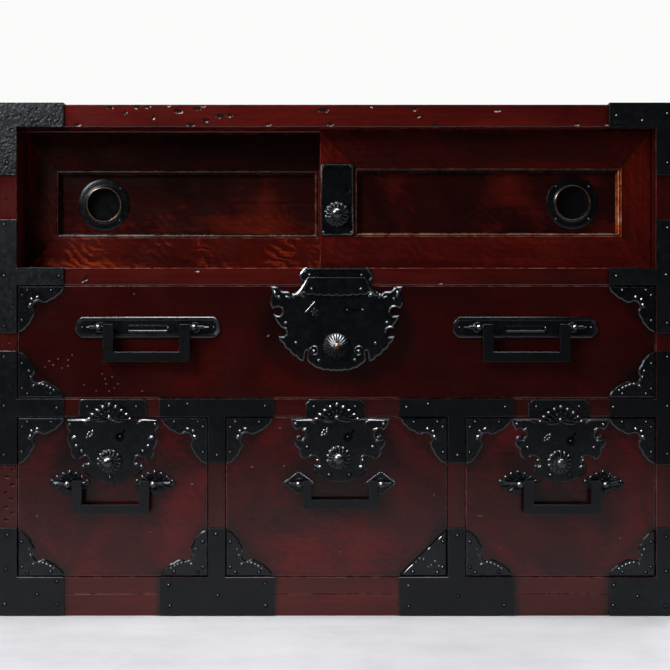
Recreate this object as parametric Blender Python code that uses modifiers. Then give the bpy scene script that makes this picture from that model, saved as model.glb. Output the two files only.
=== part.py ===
"""Tansu: a low lacquered chest with two sliding doors, one long drawer and three small drawers.

Metres, +Z up. The front faces -Y. The origin is on the floor, in the middle of the overall box.
"""

import math

import bmesh
import bpy
from mathutils import Matrix, Vector

MM = 0.001

# Carcass: overall size, then the boards from the floor up.
CARCASS_WIDTH = 0.900
CARCASS_DEPTH = 0.430
SIDE_THICKNESS = 0.0315
BASE_HEIGHT = 0.029
BASE_WALL = 0.026
BOTTOM_THICKNESS = 0.022
SMALL_DRAWER_OPENING = 0.210
MIDDLE_SHELF_THICKNESS = 0.0235
LONG_DRAWER_OPENING = 0.149
DOOR_SHELF_THICKNESS = 0.0225
DOOR_OPENING = 0.1845
TOP_THICKNESS = 0.0295
DIVIDER_THICKNESS = 0.0225
MIDDLE_BAY_WIDTH = 0.2915
BACK_THICKNESS = 0.009
JOINT_GAP = 0.0003

# Sliding doors: the right one runs in the front track, the left one behind it.
DOOR_RECESS = 0.022
DOOR_THICKNESS = 0.019
DOOR_SPACING = 0.003
DOOR_OVERLAP = 0.044
DOOR_SIDE_GAP = 0.0005
DOOR_EDGE_GAP = 0.001
OUTER_STILE = 0.039
MEETING_STILE = 0.0465
DOOR_TOP_RAIL = 0.049
DOOR_BOTTOM_RAIL = 0.042
BEAD_WIDTH = 0.0055
BEAD_STEP = 0.0035
PANEL_SETBACK = 0.008
PANEL_THICKNESS = 0.007
PANEL_REBATE = 0.005
TONGUE_WIDTH = 0.008
TONGUE_CLEARANCE = 0.0005
LOWER_GROOVE_DEPTH = 0.0035
UPPER_GROOVE_DEPTH = 0.008
UPPER_TONGUE = 0.006

# Finger pulls let into the door panels.
PULL_RADIUS = 0.035
PULL_FLANGE = 0.002
PULL_RIM_RADIUS = 0.025
PULL_RIM_HEIGHT = 0.003
CUP_RADIUS = 0.0225
CUP_WALL = 0.0012
CUP_DEPTH = 0.0075
PULL_INSET = 0.0635

# Drawers: a lacquered front on a plain tray.
DRAWER_GAP = 0.001
FRONT_THICKNESS = 0.020
TRAY_SIDE_GAP = 0.0012
TRAY_SIDE_THICKNESS = 0.010
TRAY_BACK_THICKNESS = 0.009
TRAY_BOTTOM_THICKNESS = 0.007
TRAY_HEADROOM = 0.016
TRAY_BACK_GAP = 0.0008

# Iron fittings on the carcass.
STRAP_THICKNESS = 0.002
STRAP_FOLD = 0.058
STRAP_FLOOR_GAP = 0.001
CORNER_REACH = 0.093
SIDE_TEE_HALF = 0.0745
BOTTOM_IRON_RISE = 0.0645
DIVIDER_TEE_HALF = 0.0755
DIVIDER_STEM = 0.060

# Locks: an ornamental plate with a raised tongue and a boss, a case let into the front, and a bolt.
PLATE_THICKNESS = 0.0018
TONGUE_FRONT = 0.0042
TONGUE_BACK = 0.0015
BOSS_SEAT = 0.0005
CASE_DEPTH = 0.013
CASE_CLEARANCE = 0.0004
CASE_FLOOR = 0.003
BOLT_SETBACK = 0.0052
BOLT_THICKNESS = 0.004
BOLT_WIDTH = 0.030
BOLT_CLEARANCE = 0.0004
BOLT_TOP_DROP = 0.0005
BOLT_TRAVEL = 0.009
BOLT_HEADROOM = 0.001
LONG_LOCK_DROP = 0.0572
SMALL_LOCK_DROP = 0.0422
LONG_CASE = (0.027, 0.006, 0.040)
SMALL_CASE = (0.024, 0.000, 0.032)
DOOR_LOCK_HALF_WIDTH = 0.022
DOOR_LOCK_HALF_HEIGHT = 0.048
DOOR_LOCK_BOSS_DROP = 0.020
PLATE_EDGE = 0.001

# Bosses, as (radius, height) down the outer side of a turned knob.
LONG_BOSS = [(0, 16), (2.6, 15.2), (4.0, 12.6), (10.5, 8.2), (16.4, 4.0), (17.8, 1.8), (17.8, 0), (0, 0)]
SMALL_BOSS = [
    (0, 18), (4.8, 16.6), (7.4, 12.8), (6.6, 9.0), (10, 6.4), (14.5, 4.6), (16.4, 2.2), (16.4, 0), (0, 0),
]
DOOR_BOSS = [
    (0, 15), (4.2, 13.8), (6.4, 10.6), (5.8, 7.6), (8.6, 5.4), (12.6, 3.8), (14.4, 1.8), (14.4, 0), (0, 0),
]
LONG_BOSS_DROP = 0.0222
SMALL_BOSS_DROP = 0.0118

# Drop handles: a square bail whose pins turn in two eye posts.
BAIL_THICKNESS = 0.007
PIVOT_STANDOFF = 0.011
PIN_RADIUS = 0.0025
PIN_CLEARANCE = 0.0003
POST_RADIUS = 0.0045
POST_CROWN = 0.0052
POST_GAP = 0.0012
PIN_OVERHANG = 0.008
BAIL_CROWN = 0.004
LONG_BAIL_HALF = 0.0565
LONG_BAIL_LEG = 0.0135
LONG_BAIL_BAR = 0.0125
LONG_BAIL_HEIGHT = 0.0445
LONG_HANDLE_OFFSET = 0.247
LONG_HANDLE_DROP = 0.0545
HANDLE_PLATE_HALF = 0.0945
HANDLE_PLATE_HEIGHT = 0.0275
HANDLE_PLATE_CORNER = 0.008
HANDLE_CORNER_BULGE = 0.12
SMALL_BAIL_HALF = 0.050
SMALL_BAIL_LEG = 0.0123
SMALL_BAIL_BAR = 0.012
SMALL_BAIL_HEIGHT = 0.0385
MIDDLE_BAIL_HALF = 0.048
MIDDLE_BAIL_LEG = 0.0107
MIDDLE_BAIL_HEIGHT = 0.0322
MIDDLE_FITTING_SHIFT = 0.0047
SMALL_HANDLE_DROP = 0.0858

# Ornamental outlines in millimetres: the right half from the top middle to the bottom middle, as
# (x, z, bulge) from the plate's centre. The bulge is that of the arc to the next point: 0 is straight,
# above 0 swells outward, below 0 cuts in.
LONG_PLATE = [
    (0, 50, 0), (46, 50, 0.2), (58.6, 45.5, 0.35), (68.2, 49.6, -0.3), (76, 55.6, 0.1), (86.5, 56, -0.25),
    (84.6, 45.5, 0.3), (84, 27.2, -0.1), (76.1, 29.3, -0.8), (74.3, 17.6, 0), (82, 18.6, 0.15),
    (71.3, 1.8, -0.75), (68.3, -9.7, 0), (75.6, -8.8, 0.15), (61.6, -29.7, 0.15), (42.8, -41.8, 0),
    (36, -16.4, -0.9), (27.2, -28.4, 0.3), (34, -24.2, 0.3), (25.3, -47.8, 0.25), (4, -52.7, -0.2),
    (0, -56, 0),
]
LONG_TONGUE = [
    (0, 68, 0), (37, 68, -0.3), (41, 59, 0), (41.5, 47.4, 0.35), (31, 46.4, 0.35), (21, 45.6, 0.35),
    (10.5, 45.1, 0.35), (0, 44.9, 0),
]
SMALL_PLATE = [
    (0, 40.6, 0), (64.5, 40.6, 0.2), (57, 25, -1.1), (47, 15.6, 0.3), (54.4, 19.2, 0.62), (53.8, 1, 0.4),
    (44.9, -13.6, -0.2), (39.7, -8.9, -0.9), (29.4, -20, 0.3), (33.6, -19.9, 0.5), (28.2, -33.4, 0.2),
    (0, -42.5, 0),
]
LEFT_PLATE = [
    (0, 40.2, 0), (59.6, 40.2, 0.35), (57, 25, 0.3), (54.4, 1, 0.55), (43.5, -13.6, -0.2),
    (36.2, -8.6, -0.85), (33, -17.8, 0), (39.3, -17.2, 0.35), (35.1, -31.3, 0.2), (21.5, -37, 0.15),
    (0, -45, 0),
]
FLOWER_TONGUE = [
    (0, 61, 0.5), (7.4, 58.6, 0.55), (15, 54.6, 0.55), (21.5, 49.6, 0.6), (27.4, 43, 0.45), (14, 37, 0.3),
    (0, 35, 0),
]
LEAF_ROSETTE = [
    (0, 15.5, 0.4), (8, 12, 0.4), (15.5, 7.6, 0.4), (27, 0, 0.35), (14, -8.5, 0.35), (0, -13.5, 0),
]
DIAMOND_ROSETTE = [(0, 16, 0), (21.5, 0, 0), (0, -15.5, 0)]

# Heights of the bays and boards.
BOTTOM_TOP = BASE_HEIGHT + BOTTOM_THICKNESS
BOTTOM_IRON_TOP = BOTTOM_TOP + BOTTOM_IRON_RISE
MIDDLE_SHELF_Z = BOTTOM_TOP + SMALL_DRAWER_OPENING
LONG_BAY_Z = MIDDLE_SHELF_Z + MIDDLE_SHELF_THICKNESS
DOOR_SHELF_Z = LONG_BAY_Z + LONG_DRAWER_OPENING
DOOR_BAY_Z = DOOR_SHELF_Z + DOOR_SHELF_THICKNESS
TOP_Z = DOOR_BAY_Z + DOOR_OPENING
CARCASS_HEIGHT = TOP_Z + TOP_THICKNESS

# Widths and depths that several pieces share.
HALF_WIDTH = CARCASS_WIDTH / 2
HALF_OPENING = HALF_WIDTH - SIDE_THICKNESS
HALF_MIDDLE_BAY = MIDDLE_BAY_WIDTH / 2
DIVIDER_X = HALF_MIDDLE_BAY + DIVIDER_THICKNESS / 2
BOSS_HEIGHT = max(LONG_BOSS[0][1], SMALL_BOSS[0][1]) * MM
PROJECTION = JOINT_GAP + PLATE_THICKNESS - BOSS_SEAT + BOSS_HEIGHT
FRONT_Y = (PROJECTION - CARCASS_DEPTH) / 2
BACK_Y = FRONT_Y + CARCASS_DEPTH
BACK_PANEL_Y = BACK_Y - BACK_THICKNESS
PLATE_Y = FRONT_Y - JOINT_GAP - PLATE_THICKNESS
PIVOT_Y = FRONT_Y - PIVOT_STANDOFF
BOLT_Y = FRONT_Y + BOLT_SETBACK
DOOR_WIDTH = HALF_OPENING + DOOR_OVERLAP / 2 - DOOR_SIDE_GAP
DOOR_PITCH = DOOR_THICKNESS + DOOR_SPACING

UPRIGHT = (math.pi / 2, 0, 0)
ARC_STEP = math.radians(40)
POST_SIDES = 12
PIN_SIDES = 10
BOSS_SIDES = 24
CUP_SIDES = 32


def make_collection(name):
    collection = bpy.data.collections.new(name)
    bpy.context.scene.collection.children.link(collection)
    return collection


def make_material(name, colour, roughness, metallic):
    material = bpy.data.materials.new(name)
    material.use_nodes = True
    shader = material.node_tree.nodes["Principled BSDF"]
    shader.inputs["Base Color"].default_value = (*colour, 1)
    shader.inputs["Roughness"].default_value = roughness
    shader.inputs["Metallic"].default_value = metallic
    material.diffuse_color = (*colour, 1)
    return material


def world_place(obj):
    """Where an object's origin lies, found up its chain of parents, none of which is turned."""
    place = Vector()
    while obj:
        place += obj.location
        obj = obj.parent
    return place


def place_object(name, data, place, material=None, parent=None):
    """A part if it has a material, and a hidden helper for the Booleans if it has none."""
    obj = bpy.data.objects.new(name, data)
    obj.location = Vector(place) - world_place(parent)
    obj.parent = parent
    if material:
        PARTS.objects.link(obj)
        data.materials.append(material)
    else:
        HELPERS.objects.link(obj)
        obj.hide_render = True
        obj.display_type = "WIRE"
    return obj


def body(name, place, parent=None):
    """An empty that carries the pieces of one moving body."""
    empty = bpy.data.objects.new(name, None)
    empty.location = Vector(place) - world_place(parent)
    empty.parent = parent
    PARTS.objects.link(empty)
    return empty


def box(name, low, high, material=None, parent=None):
    """A box between two corners."""
    low, high = Vector(low), Vector(high)
    mesh = bpy.data.meshes.new(name)
    shape = bmesh.new()
    bmesh.ops.create_cube(shape, size=1)
    bmesh.ops.scale(shape, vec=high - low, verts=shape.verts)
    shape.to_mesh(mesh)
    shape.free()
    return place_object(name, mesh, (low + high) / 2, material, parent)


def rod(name, centre, axis, radius, length, sides):
    """A helper cylinder along the named axis."""
    turn = {"X": Matrix.Rotation(math.pi / 2, 3, "Y"), "Y": Matrix.Rotation(math.pi / 2, 3, "X")}[axis]
    mesh = bpy.data.meshes.new(name)
    shape = bmesh.new()
    bmesh.ops.create_cone(shape, cap_ends=True, segments=sides, radius1=radius, radius2=radius, depth=length)
    bmesh.ops.rotate(shape, matrix=turn, verts=shape.verts)
    shape.to_mesh(mesh)
    shape.free()
    return place_object(name, mesh, centre)


def combine(target, operation, *helpers):
    for helper in helpers:
        modifier = target.modifiers.new(f"{operation.title()} {helper.name}", "BOOLEAN")
        modifier.operation = operation
        modifier.solver = "EXACT"
        modifier.object = helper
    return target


def cut(target, *helpers):
    return combine(target, "DIFFERENCE", *helpers)


def join(target, *helpers):
    return combine(target, "UNION", *helpers)


def arc(start, end, bulge):
    """Points after start, up to end, on the arc that swells to the left of the way by bulge half chords."""
    steps = max(1, math.ceil(4 * math.atan(abs(bulge)) / ARC_STEP))
    if steps == 1:
        return [end]
    (x0, z0), (x1, z1) = start, end
    offset = (1 / bulge - bulge) / 4
    centre_x = (x0 + x1) / 2 + offset * (z1 - z0)
    centre_z = (z0 + z1) / 2 - offset * (x1 - x0)
    radius = math.hypot(x0 - centre_x, z0 - centre_z)
    first = math.atan2(z0 - centre_z, x0 - centre_x)
    sweep = -4 * math.atan(bulge)
    turns = [first + sweep * step / steps for step in range(1, steps)]
    round_stretch = [(centre_x + radius * math.cos(t), centre_z + radius * math.sin(t)) for t in turns]
    return round_stretch + [end]


def mirrored_outline(half):
    """A closed outline in metres from its right half, given in millimetres."""
    points = [half[0][:2]]
    for (x0, z0, bulge), (x1, z1, _) in zip(half, half[1:]):
        points += arc((x0, z0), (x1, z1), bulge)
    top, *right, bottom = points
    left = [(-x, z) for x, z in reversed(right)]
    top_corner = [top] if top[1] != right[0][1] else []
    bottom_corner = [bottom] if bottom[1] != right[-1][1] else []
    return [(x * MM, z * MM) for x, z in top_corner + right + bottom_corner + left]


def plate(name, outline, centre, back_y, front_y, material=None, parent=None):
    """A flat upright plate with the given outline, from its front to its back."""
    curve = bpy.data.curves.new(name, "CURVE")
    curve.dimensions = "2D"
    curve.fill_mode = "BOTH"
    curve.extrude = (back_y - front_y) / 2
    spline = curve.splines.new("POLY")
    spline.points.add(len(outline) - 1)
    for point, (x, z) in zip(spline.points, outline):
        point.co = (x, z, 0, 1)
    spline.use_cyclic_u = True
    drawing = bpy.data.objects.new(f"{name} outline", curve)
    mesh = bpy.data.meshes.new_from_object(drawing)
    bpy.data.objects.remove(drawing)
    shape = bmesh.new()
    shape.from_mesh(mesh)
    bmesh.ops.remove_doubles(shape, verts=shape.verts, dist=1e-6)
    shape.to_mesh(mesh)
    shape.free()
    place = (centre[0], (back_y + front_y) / 2, centre[1])
    solid = place_object(name, mesh, place, material, parent)
    solid.rotation_euler = UPRIGHT
    return solid


def turned(name, profile, place, sides, material=None, parent=None):
    """A solid turned about an axis that points out of the front, from (radius, height) pairs."""
    mesh = bpy.data.meshes.new(name)
    shape = bmesh.new()
    points = [shape.verts.new((radius, 0, height)) for radius, height in profile]
    for first, second in zip(points, points[1:]):
        shape.edges.new((first, second))
    shape.to_mesh(mesh)
    shape.free()
    solid = place_object(name, mesh, place, material, parent)
    solid.rotation_euler = UPRIGHT
    screw = solid.modifiers.new("Turned", "SCREW")
    screw.steps = sides
    screw.render_steps = sides
    screw.use_merge_vertices = True
    screw.merge_threshold = 0.00005
    return solid


def boss(name, profile, x, plate_front, z):
    """A helper knob seated a little way into the plate behind it."""
    metres = [(radius * MM, height * MM) for radius, height in profile]
    return turned(name, metres, (x, plate_front + BOSS_SEAT, z), BOSS_SIDES)


def strap(name, outline, folds):
    """A nailed sheet iron: a flat front, with the edges on the fold lines bent back over the carcass."""
    mesh = bpy.data.meshes.new(name)
    shape = bmesh.new()
    corners = [shape.verts.new((x, FRONT_Y - JOINT_GAP, z)) for x, z in outline]
    front = shape.faces.new(corners)
    front.normal_update()
    if front.normal.y > 0:
        front.normal_flip()

    def on_fold(edge):
        for line_axis, line in folds:
            if all(abs(corner.co[line_axis] - line) < 1e-6 for corner in edge.verts):
                return True
        return False

    bent = [edge for edge in shape.edges if on_fold(edge)]
    if bent:
        made = bmesh.ops.extrude_edge_only(shape, edges=bent)["geom"]
        new_corners = [item for item in made if isinstance(item, bmesh.types.BMVert)]
        bmesh.ops.translate(shape, vec=(0, STRAP_FOLD, 0), verts=new_corners)
        bmesh.ops.recalc_face_normals(shape, faces=shape.faces)
        flat = min(shape.faces, key=lambda face: face.calc_center_median().y)
        if flat.normal.y > 0:
            bmesh.ops.reverse_faces(shape, faces=shape.faces)
    shape.to_mesh(mesh)
    shape.free()
    iron = place_object(name, mesh, (0, 0, 0), IRON)
    sheet = iron.modifiers.new("Sheet", "SOLIDIFY")
    sheet.thickness = STRAP_THICKNESS
    sheet.offset = 1
    sheet.use_even_offset = True
    return iron


def build_boards():
    """The carcass boards, which stand between the top and the bottom."""
    gap = JOINT_GAP
    inner = HALF_OPENING - gap
    base = box(
        "base_frame", (-HALF_WIDTH, FRONT_Y, 0), (HALF_WIDTH, BACK_Y, BASE_HEIGHT - gap), LACQUER
    )
    hollow_low = (-HALF_WIDTH + BASE_WALL, FRONT_Y + BASE_WALL, -BASE_HEIGHT)
    hollow_high = (HALF_WIDTH - BASE_WALL, BACK_Y - BASE_WALL, 2 * BASE_HEIGHT)
    cut(base, box("base hollow", hollow_low, hollow_high))
    box("bottom_panel", (-HALF_WIDTH, FRONT_Y, BASE_HEIGHT), (HALF_WIDTH, BACK_Y, BOTTOM_TOP), LACQUER)
    for name, side in (("left", -1), ("right", 1)):
        outer_face, inner_face = side * HALF_WIDTH, side * HALF_OPENING
        low = (min(outer_face, inner_face), FRONT_Y, BOTTOM_TOP + gap)
        high = (max(outer_face, inner_face), BACK_Y, TOP_Z - gap)
        box(f"{name}_side_panel", low, high, LACQUER)
        low = (side * DIVIDER_X - DIVIDER_THICKNESS / 2, FRONT_Y, BOTTOM_TOP + gap)
        high = (side * DIVIDER_X + DIVIDER_THICKNESS / 2, BACK_PANEL_Y - gap, MIDDLE_SHELF_Z - gap)
        box(f"{name}_divider", low, high, LACQUER)
    box("back_panel", (-inner, BACK_PANEL_Y, BOTTOM_TOP + gap), (inner, BACK_Y, TOP_Z - gap), BARE_WOOD)
    middle = box(
        "middle_shelf", (-inner, FRONT_Y, MIDDLE_SHELF_Z), (inner, BACK_PANEL_Y - gap, LONG_BAY_Z), LACQUER
    )
    for name, low_x, high_x, shift in SMALL_BAYS:
        cut(middle, bolt_pocket(f"{name} bolt pocket", (low_x + high_x) / 2 + shift, MIDDLE_SHELF_Z))
    shelf = box(
        "door_shelf", (-inner, FRONT_Y, DOOR_SHELF_Z), (inner, BACK_PANEL_Y - gap, DOOR_BAY_Z), LACQUER
    )
    top = box("top_panel", (-HALF_WIDTH, FRONT_Y, TOP_Z), (HALF_WIDTH, BACK_Y, CARCASS_HEIGHT), LACQUER)
    cut(shelf, bolt_pocket("long bolt pocket", 0, DOOR_SHELF_Z))
    for track in (0, 1):
        centre = FRONT_Y + DOOR_RECESS + track * DOOR_PITCH + DOOR_THICKNESS / 2
        half = TONGUE_WIDTH / 2 + TONGUE_CLEARANCE
        low = (-HALF_WIDTH, centre - half, DOOR_BAY_Z - LOWER_GROOVE_DEPTH)
        high = (HALF_WIDTH, centre + half, TOP_Z)
        cut(shelf, box(f"lower groove {track}", low, high))
        low = (-HALF_OPENING, centre - half, DOOR_BAY_Z)
        high = (HALF_OPENING, centre + half, TOP_Z + UPPER_GROOVE_DEPTH)
        cut(top, box(f"upper groove {track}", low, high))


def bolt_pocket(name, x, shelf_z):
    """The mortise in a shelf's underside that a raised bolt enters."""
    half = BOLT_WIDTH / 2 + BOLT_CLEARANCE
    depth = BOLT_TRAVEL - DRAWER_GAP - BOLT_TOP_DROP + BOLT_HEADROOM
    low = (x - half, BOLT_Y - BOLT_CLEARANCE, shelf_z - BOLT_HEADROOM)
    high = (x + half, BOLT_Y + BOLT_THICKNESS + BOLT_CLEARANCE, shelf_z + depth)
    return box(name, low, high)


def build_straps():
    """The nailed irons at the corners, the shelf ends and the dividers."""
    outer = HALF_WIDTH + JOINT_GAP
    reach = HALF_WIDTH - CORNER_REACH
    crown = CARCASS_HEIGHT + JOINT_GAP
    for name, side in (("left", -1), ("right", 1)):
        def sided(points):
            return [(side * x, z) for x, z in points]

        side_fold = (0, side * outer)
        top_corner = [
            (HALF_OPENING, crown - CORNER_REACH), (HALF_OPENING, TOP_Z), (reach, TOP_Z), (reach, crown),
            (outer, crown), (outer, crown - CORNER_REACH),
        ]
        strap(f"{name}_top_corner_iron", sided(top_corner), [side_fold, (2, crown)])
        for level, low, high in (
            ("upper", DOOR_SHELF_Z, DOOR_BAY_Z),
            ("lower", MIDDLE_SHELF_Z, LONG_BAY_Z),
        ):
            middle = (low + high) / 2
            tee = [
                (HALF_OPENING, middle - SIDE_TEE_HALF), (HALF_OPENING, low), (reach, low), (reach, high),
                (HALF_OPENING, high), (HALF_OPENING, middle + SIDE_TEE_HALF),
                (outer, middle + SIDE_TEE_HALF), (outer, middle - SIDE_TEE_HALF),
            ]
            strap(f"{name}_{level}_tee_iron", sided(tee), [side_fold])
        bottom_corner = [
            (HALF_OPENING, BOTTOM_IRON_TOP), (HALF_OPENING, BOTTOM_TOP), (reach, BOTTOM_TOP),
            (reach, STRAP_FLOOR_GAP), (outer, STRAP_FLOOR_GAP), (outer, BOTTOM_IRON_TOP),
        ]
        strap(f"{name}_bottom_corner_iron", sided(bottom_corner), [side_fold])
        stem = DIVIDER_THICKNESS / 2
        for level, base, foot, tip in (
            ("top", LONG_BAY_Z, MIDDLE_SHELF_Z, MIDDLE_SHELF_Z - DIVIDER_STEM),
            ("bottom", STRAP_FLOOR_GAP, BOTTOM_TOP, BOTTOM_IRON_TOP),
        ):
            tee = [
                (DIVIDER_X - DIVIDER_TEE_HALF, base), (DIVIDER_X - DIVIDER_TEE_HALF, foot),
                (DIVIDER_X - stem, foot), (DIVIDER_X - stem, tip), (DIVIDER_X + stem, tip),
                (DIVIDER_X + stem, foot), (DIVIDER_X + DIVIDER_TEE_HALF, foot),
                (DIVIDER_X + DIVIDER_TEE_HALF, base),
            ]
            strap(f"{name}_divider_{level}_iron", sided(tee), [])


def build_door(name, side, track):
    """A framed sliding door with its recessed panel and finger pull, in its own track."""
    front = FRONT_Y + DOOR_RECESS + track * DOOR_PITCH
    back = front + DOOR_THICKNESS
    outer_x = side * (HALF_OPENING - DOOR_SIDE_GAP)
    meeting_x = outer_x - side * DOOR_WIDTH
    low_x, high_x = min(outer_x, meeting_x), max(outer_x, meeting_x)
    low_z, high_z = DOOR_BAY_Z + DOOR_EDGE_GAP, TOP_Z - DOOR_EDGE_GAP
    carrier = body(f"{name}_body", ((low_x + high_x) / 2, front, low_z))

    frame = box(f"{name}_frame", (low_x, front, low_z), (high_x, back, high_z), DOOR_WOOD, carrier)
    centre_y = (front + back) / 2
    tongue_foot = DOOR_BAY_Z - LOWER_GROOVE_DEPTH + JOINT_GAP
    tongue_low = (low_x + DOOR_EDGE_GAP, centre_y - TONGUE_WIDTH / 2, tongue_foot)
    tongue_high = (high_x - DOOR_EDGE_GAP, centre_y + TONGUE_WIDTH / 2, TOP_Z + UPPER_TONGUE)
    join(frame, box(f"{name} tongues", tongue_low, tongue_high))
    stiles = sorted((outer_x - side * OUTER_STILE, meeting_x + side * MEETING_STILE))
    rails = (low_z + DOOR_BOTTOM_RAIL, high_z - DOOR_TOP_RAIL)
    step_low, step_high = (stiles[0], front - BEAD_STEP, rails[0]), (stiles[1], front + BEAD_STEP, rails[1])
    step = box(f"{name} bead step", step_low, step_high)
    opening_low = (stiles[0] + BEAD_WIDTH, front - BEAD_STEP, rails[0] + BEAD_WIDTH)
    opening_high = (stiles[1] - BEAD_WIDTH, back + BEAD_STEP, rails[1] - BEAD_WIDTH)
    opening = box(f"{name} opening", opening_low, opening_high)
    panel_y = front + PANEL_SETBACK
    rebate_low = (opening_low[0] - PANEL_REBATE, panel_y - JOINT_GAP, opening_low[2] - PANEL_REBATE)
    rebate_high = (opening_high[0] + PANEL_REBATE, back + BEAD_STEP, opening_high[2] + PANEL_REBATE)
    cut(frame, step, opening, box(f"{name} rebate", rebate_low, rebate_high))

    panel = box(
        f"{name}_panel",
        (rebate_low[0] + JOINT_GAP, panel_y, rebate_low[2] + JOINT_GAP),
        (rebate_high[0] - JOINT_GAP, panel_y + PANEL_THICKNESS, rebate_high[2] - JOINT_GAP),
        DOOR_WOOD,
        carrier,
    )
    pull_x = outer_x - side * (OUTER_STILE + PULL_INSET)
    pull_z = (rails[0] + rails[1]) / 2
    hole = CUP_RADIUS + CUP_WALL + JOINT_GAP
    pull_place = (pull_x, panel_y, pull_z)
    cut(panel, rod(f"{name} pull hole", pull_place, "Y", hole, 4 * PANEL_THICKNESS, CUP_SIDES))
    flange = PULL_FLANGE
    profile = [
        (0, flange - CUP_DEPTH), (CUP_RADIUS, flange - CUP_DEPTH), (CUP_RADIUS, PULL_RIM_HEIGHT),
        (PULL_RIM_RADIUS, PULL_RIM_HEIGHT), (PULL_RIM_RADIUS, flange), (PULL_RADIUS, flange),
        (PULL_RADIUS, 0), (CUP_RADIUS + CUP_WALL, 0), (CUP_RADIUS + CUP_WALL, flange - CUP_DEPTH - CUP_WALL),
        (0, flange - CUP_DEPTH - CUP_WALL),
    ]
    turned(f"{name}_finger_pull", profile, (pull_x, panel_y - JOINT_GAP, pull_z), CUP_SIDES, IRON, carrier)
    return carrier, front, meeting_x, (low_z + high_z) / 2


def build_doors():
    build_door("left_door", -1, 1)
    carrier, front, meeting_x, middle_z = build_door("right_door", 1, 0)
    wide, tall = DOOR_LOCK_HALF_WIDTH / MM, DOOR_LOCK_HALF_HEIGHT / MM
    outline = mirrored_outline([(0, tall, 0), (wide, tall, 0), (wide, -tall, 0), (0, -tall, 0)])
    x = meeting_x + PLATE_EDGE + DOOR_LOCK_HALF_WIDTH
    face = front - JOINT_GAP
    plate_front = face - PLATE_THICKNESS
    lock = plate("right_door_lock_plate", outline, (x, middle_z), face, plate_front, IRON, carrier)
    join(lock, boss("door knob", DOOR_BOSS, x, plate_front, middle_z - DOOR_LOCK_BOSS_DROP))


def build_drawer(name, low_x, high_x, low_z, high_z):
    """A drawer's front and tray, on an empty in the middle of its front face."""
    middle = ((low_x + high_x) / 2, FRONT_Y, (low_z + high_z) / 2)
    carrier = body(f"{name}_body", middle)
    back = FRONT_Y + FRONT_THICKNESS
    front = box(
        f"{name}_front",
        (low_x + DRAWER_GAP, FRONT_Y, low_z + DRAWER_GAP),
        (high_x - DRAWER_GAP, back, high_z - DRAWER_GAP),
        LACQUER,
        carrier,
    )
    low = Vector((low_x + TRAY_SIDE_GAP, back + JOINT_GAP, low_z + JOINT_GAP))
    high = Vector((high_x - TRAY_SIDE_GAP, BACK_PANEL_Y - TRAY_BACK_GAP, high_z - TRAY_HEADROOM))
    tray = box(f"{name}_tray", low, high, BARE_WOOD, carrier)
    hollow_low = low + Vector((TRAY_SIDE_THICKNESS, -FRONT_THICKNESS, TRAY_BOTTOM_THICKNESS))
    hollow_high = high + Vector((-TRAY_SIDE_THICKNESS, -TRAY_BACK_THICKNESS, TRAY_HEADROOM))
    cut(tray, box(f"{name} hollow", hollow_low, hollow_high))
    return carrier, front


def build_lock(name, carrier, front, x, drawer_top, drop, half, tongue, case, profile, boss_drop):
    """A lock plate with its tongue, boss and case, and the bolt that rises out of the case."""
    z = drawer_top - drop
    face, crest = mirrored_outline(half), mirrored_outline(tongue)
    lock = plate(f"{name}_lock_plate", face, (x, z), FRONT_Y - JOINT_GAP, PLATE_Y, IRON, carrier)
    hood = plate(f"{name} tongue", crest, (x, z), FRONT_Y - TONGUE_BACK, FRONT_Y - TONGUE_FRONT)
    knob = boss(f"{name} boss", profile, x, PLATE_Y, z - boss_drop)
    case_half, case_low, case_high = case
    mortise_low = (x - case_half, FRONT_Y - CASE_DEPTH, z + case_low)
    mortise_high = (x + case_half, FRONT_Y + CASE_DEPTH, z + case_high)
    mortise = box(f"{name} mortise", mortise_low, mortise_high)
    slack = CASE_CLEARANCE
    case_box = box(
        f"{name} case",
        (x - case_half + slack, PLATE_Y + PLATE_THICKNESS / 2, z + case_low + slack),
        (x + case_half - slack, FRONT_Y + CASE_DEPTH - slack, z + case_high - slack),
    )
    floor_z = z + case_low + CASE_FLOOR
    slot_half = BOLT_WIDTH / 2 + BOLT_CLEARANCE
    slot = box(
        f"{name} bolt slot",
        (x - slot_half, BOLT_Y - BOLT_CLEARANCE, floor_z),
        (x + slot_half, BOLT_Y + BOLT_THICKNESS + BOLT_CLEARANCE, drawer_top + BOLT_TRAVEL),
    )
    cut(front, mortise, slot)
    cut(join(lock, hood, knob, case_box), slot)
    bolt_low = (x - BOLT_WIDTH / 2, BOLT_Y, floor_z + JOINT_GAP)
    bolt_high = (x + BOLT_WIDTH / 2, BOLT_Y + BOLT_THICKNESS, drawer_top - BOLT_TOP_DROP)
    bolt_body = body(f"{name}_lock_bolt_body", (x, BOLT_Y, floor_z), carrier)
    box(f"{name}_lock_bolt", bolt_low, bolt_high, IRON, bolt_body)


def bail_post_x(half_width):
    """How far an eye post stands from the middle of its bail."""
    return half_width + POST_GAP + POST_RADIUS


def eye_post(name, x, z):
    """A helper post that stands on a plate, bored across for a bail's pin."""
    foot, crown = PLATE_Y + PLATE_THICKNESS / 2, PIVOT_Y - POST_CROWN
    post = rod(f"{name} post", (x, (foot + crown) / 2, z), "Y", POST_RADIUS, foot - crown, POST_SIDES)
    eye_radius = PIN_RADIUS + PIN_CLEARANCE
    return cut(post, rod(f"{name} eye", (x, PIVOT_Y, z), "X", eye_radius, 4 * POST_RADIUS, PIN_SIDES))


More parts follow.
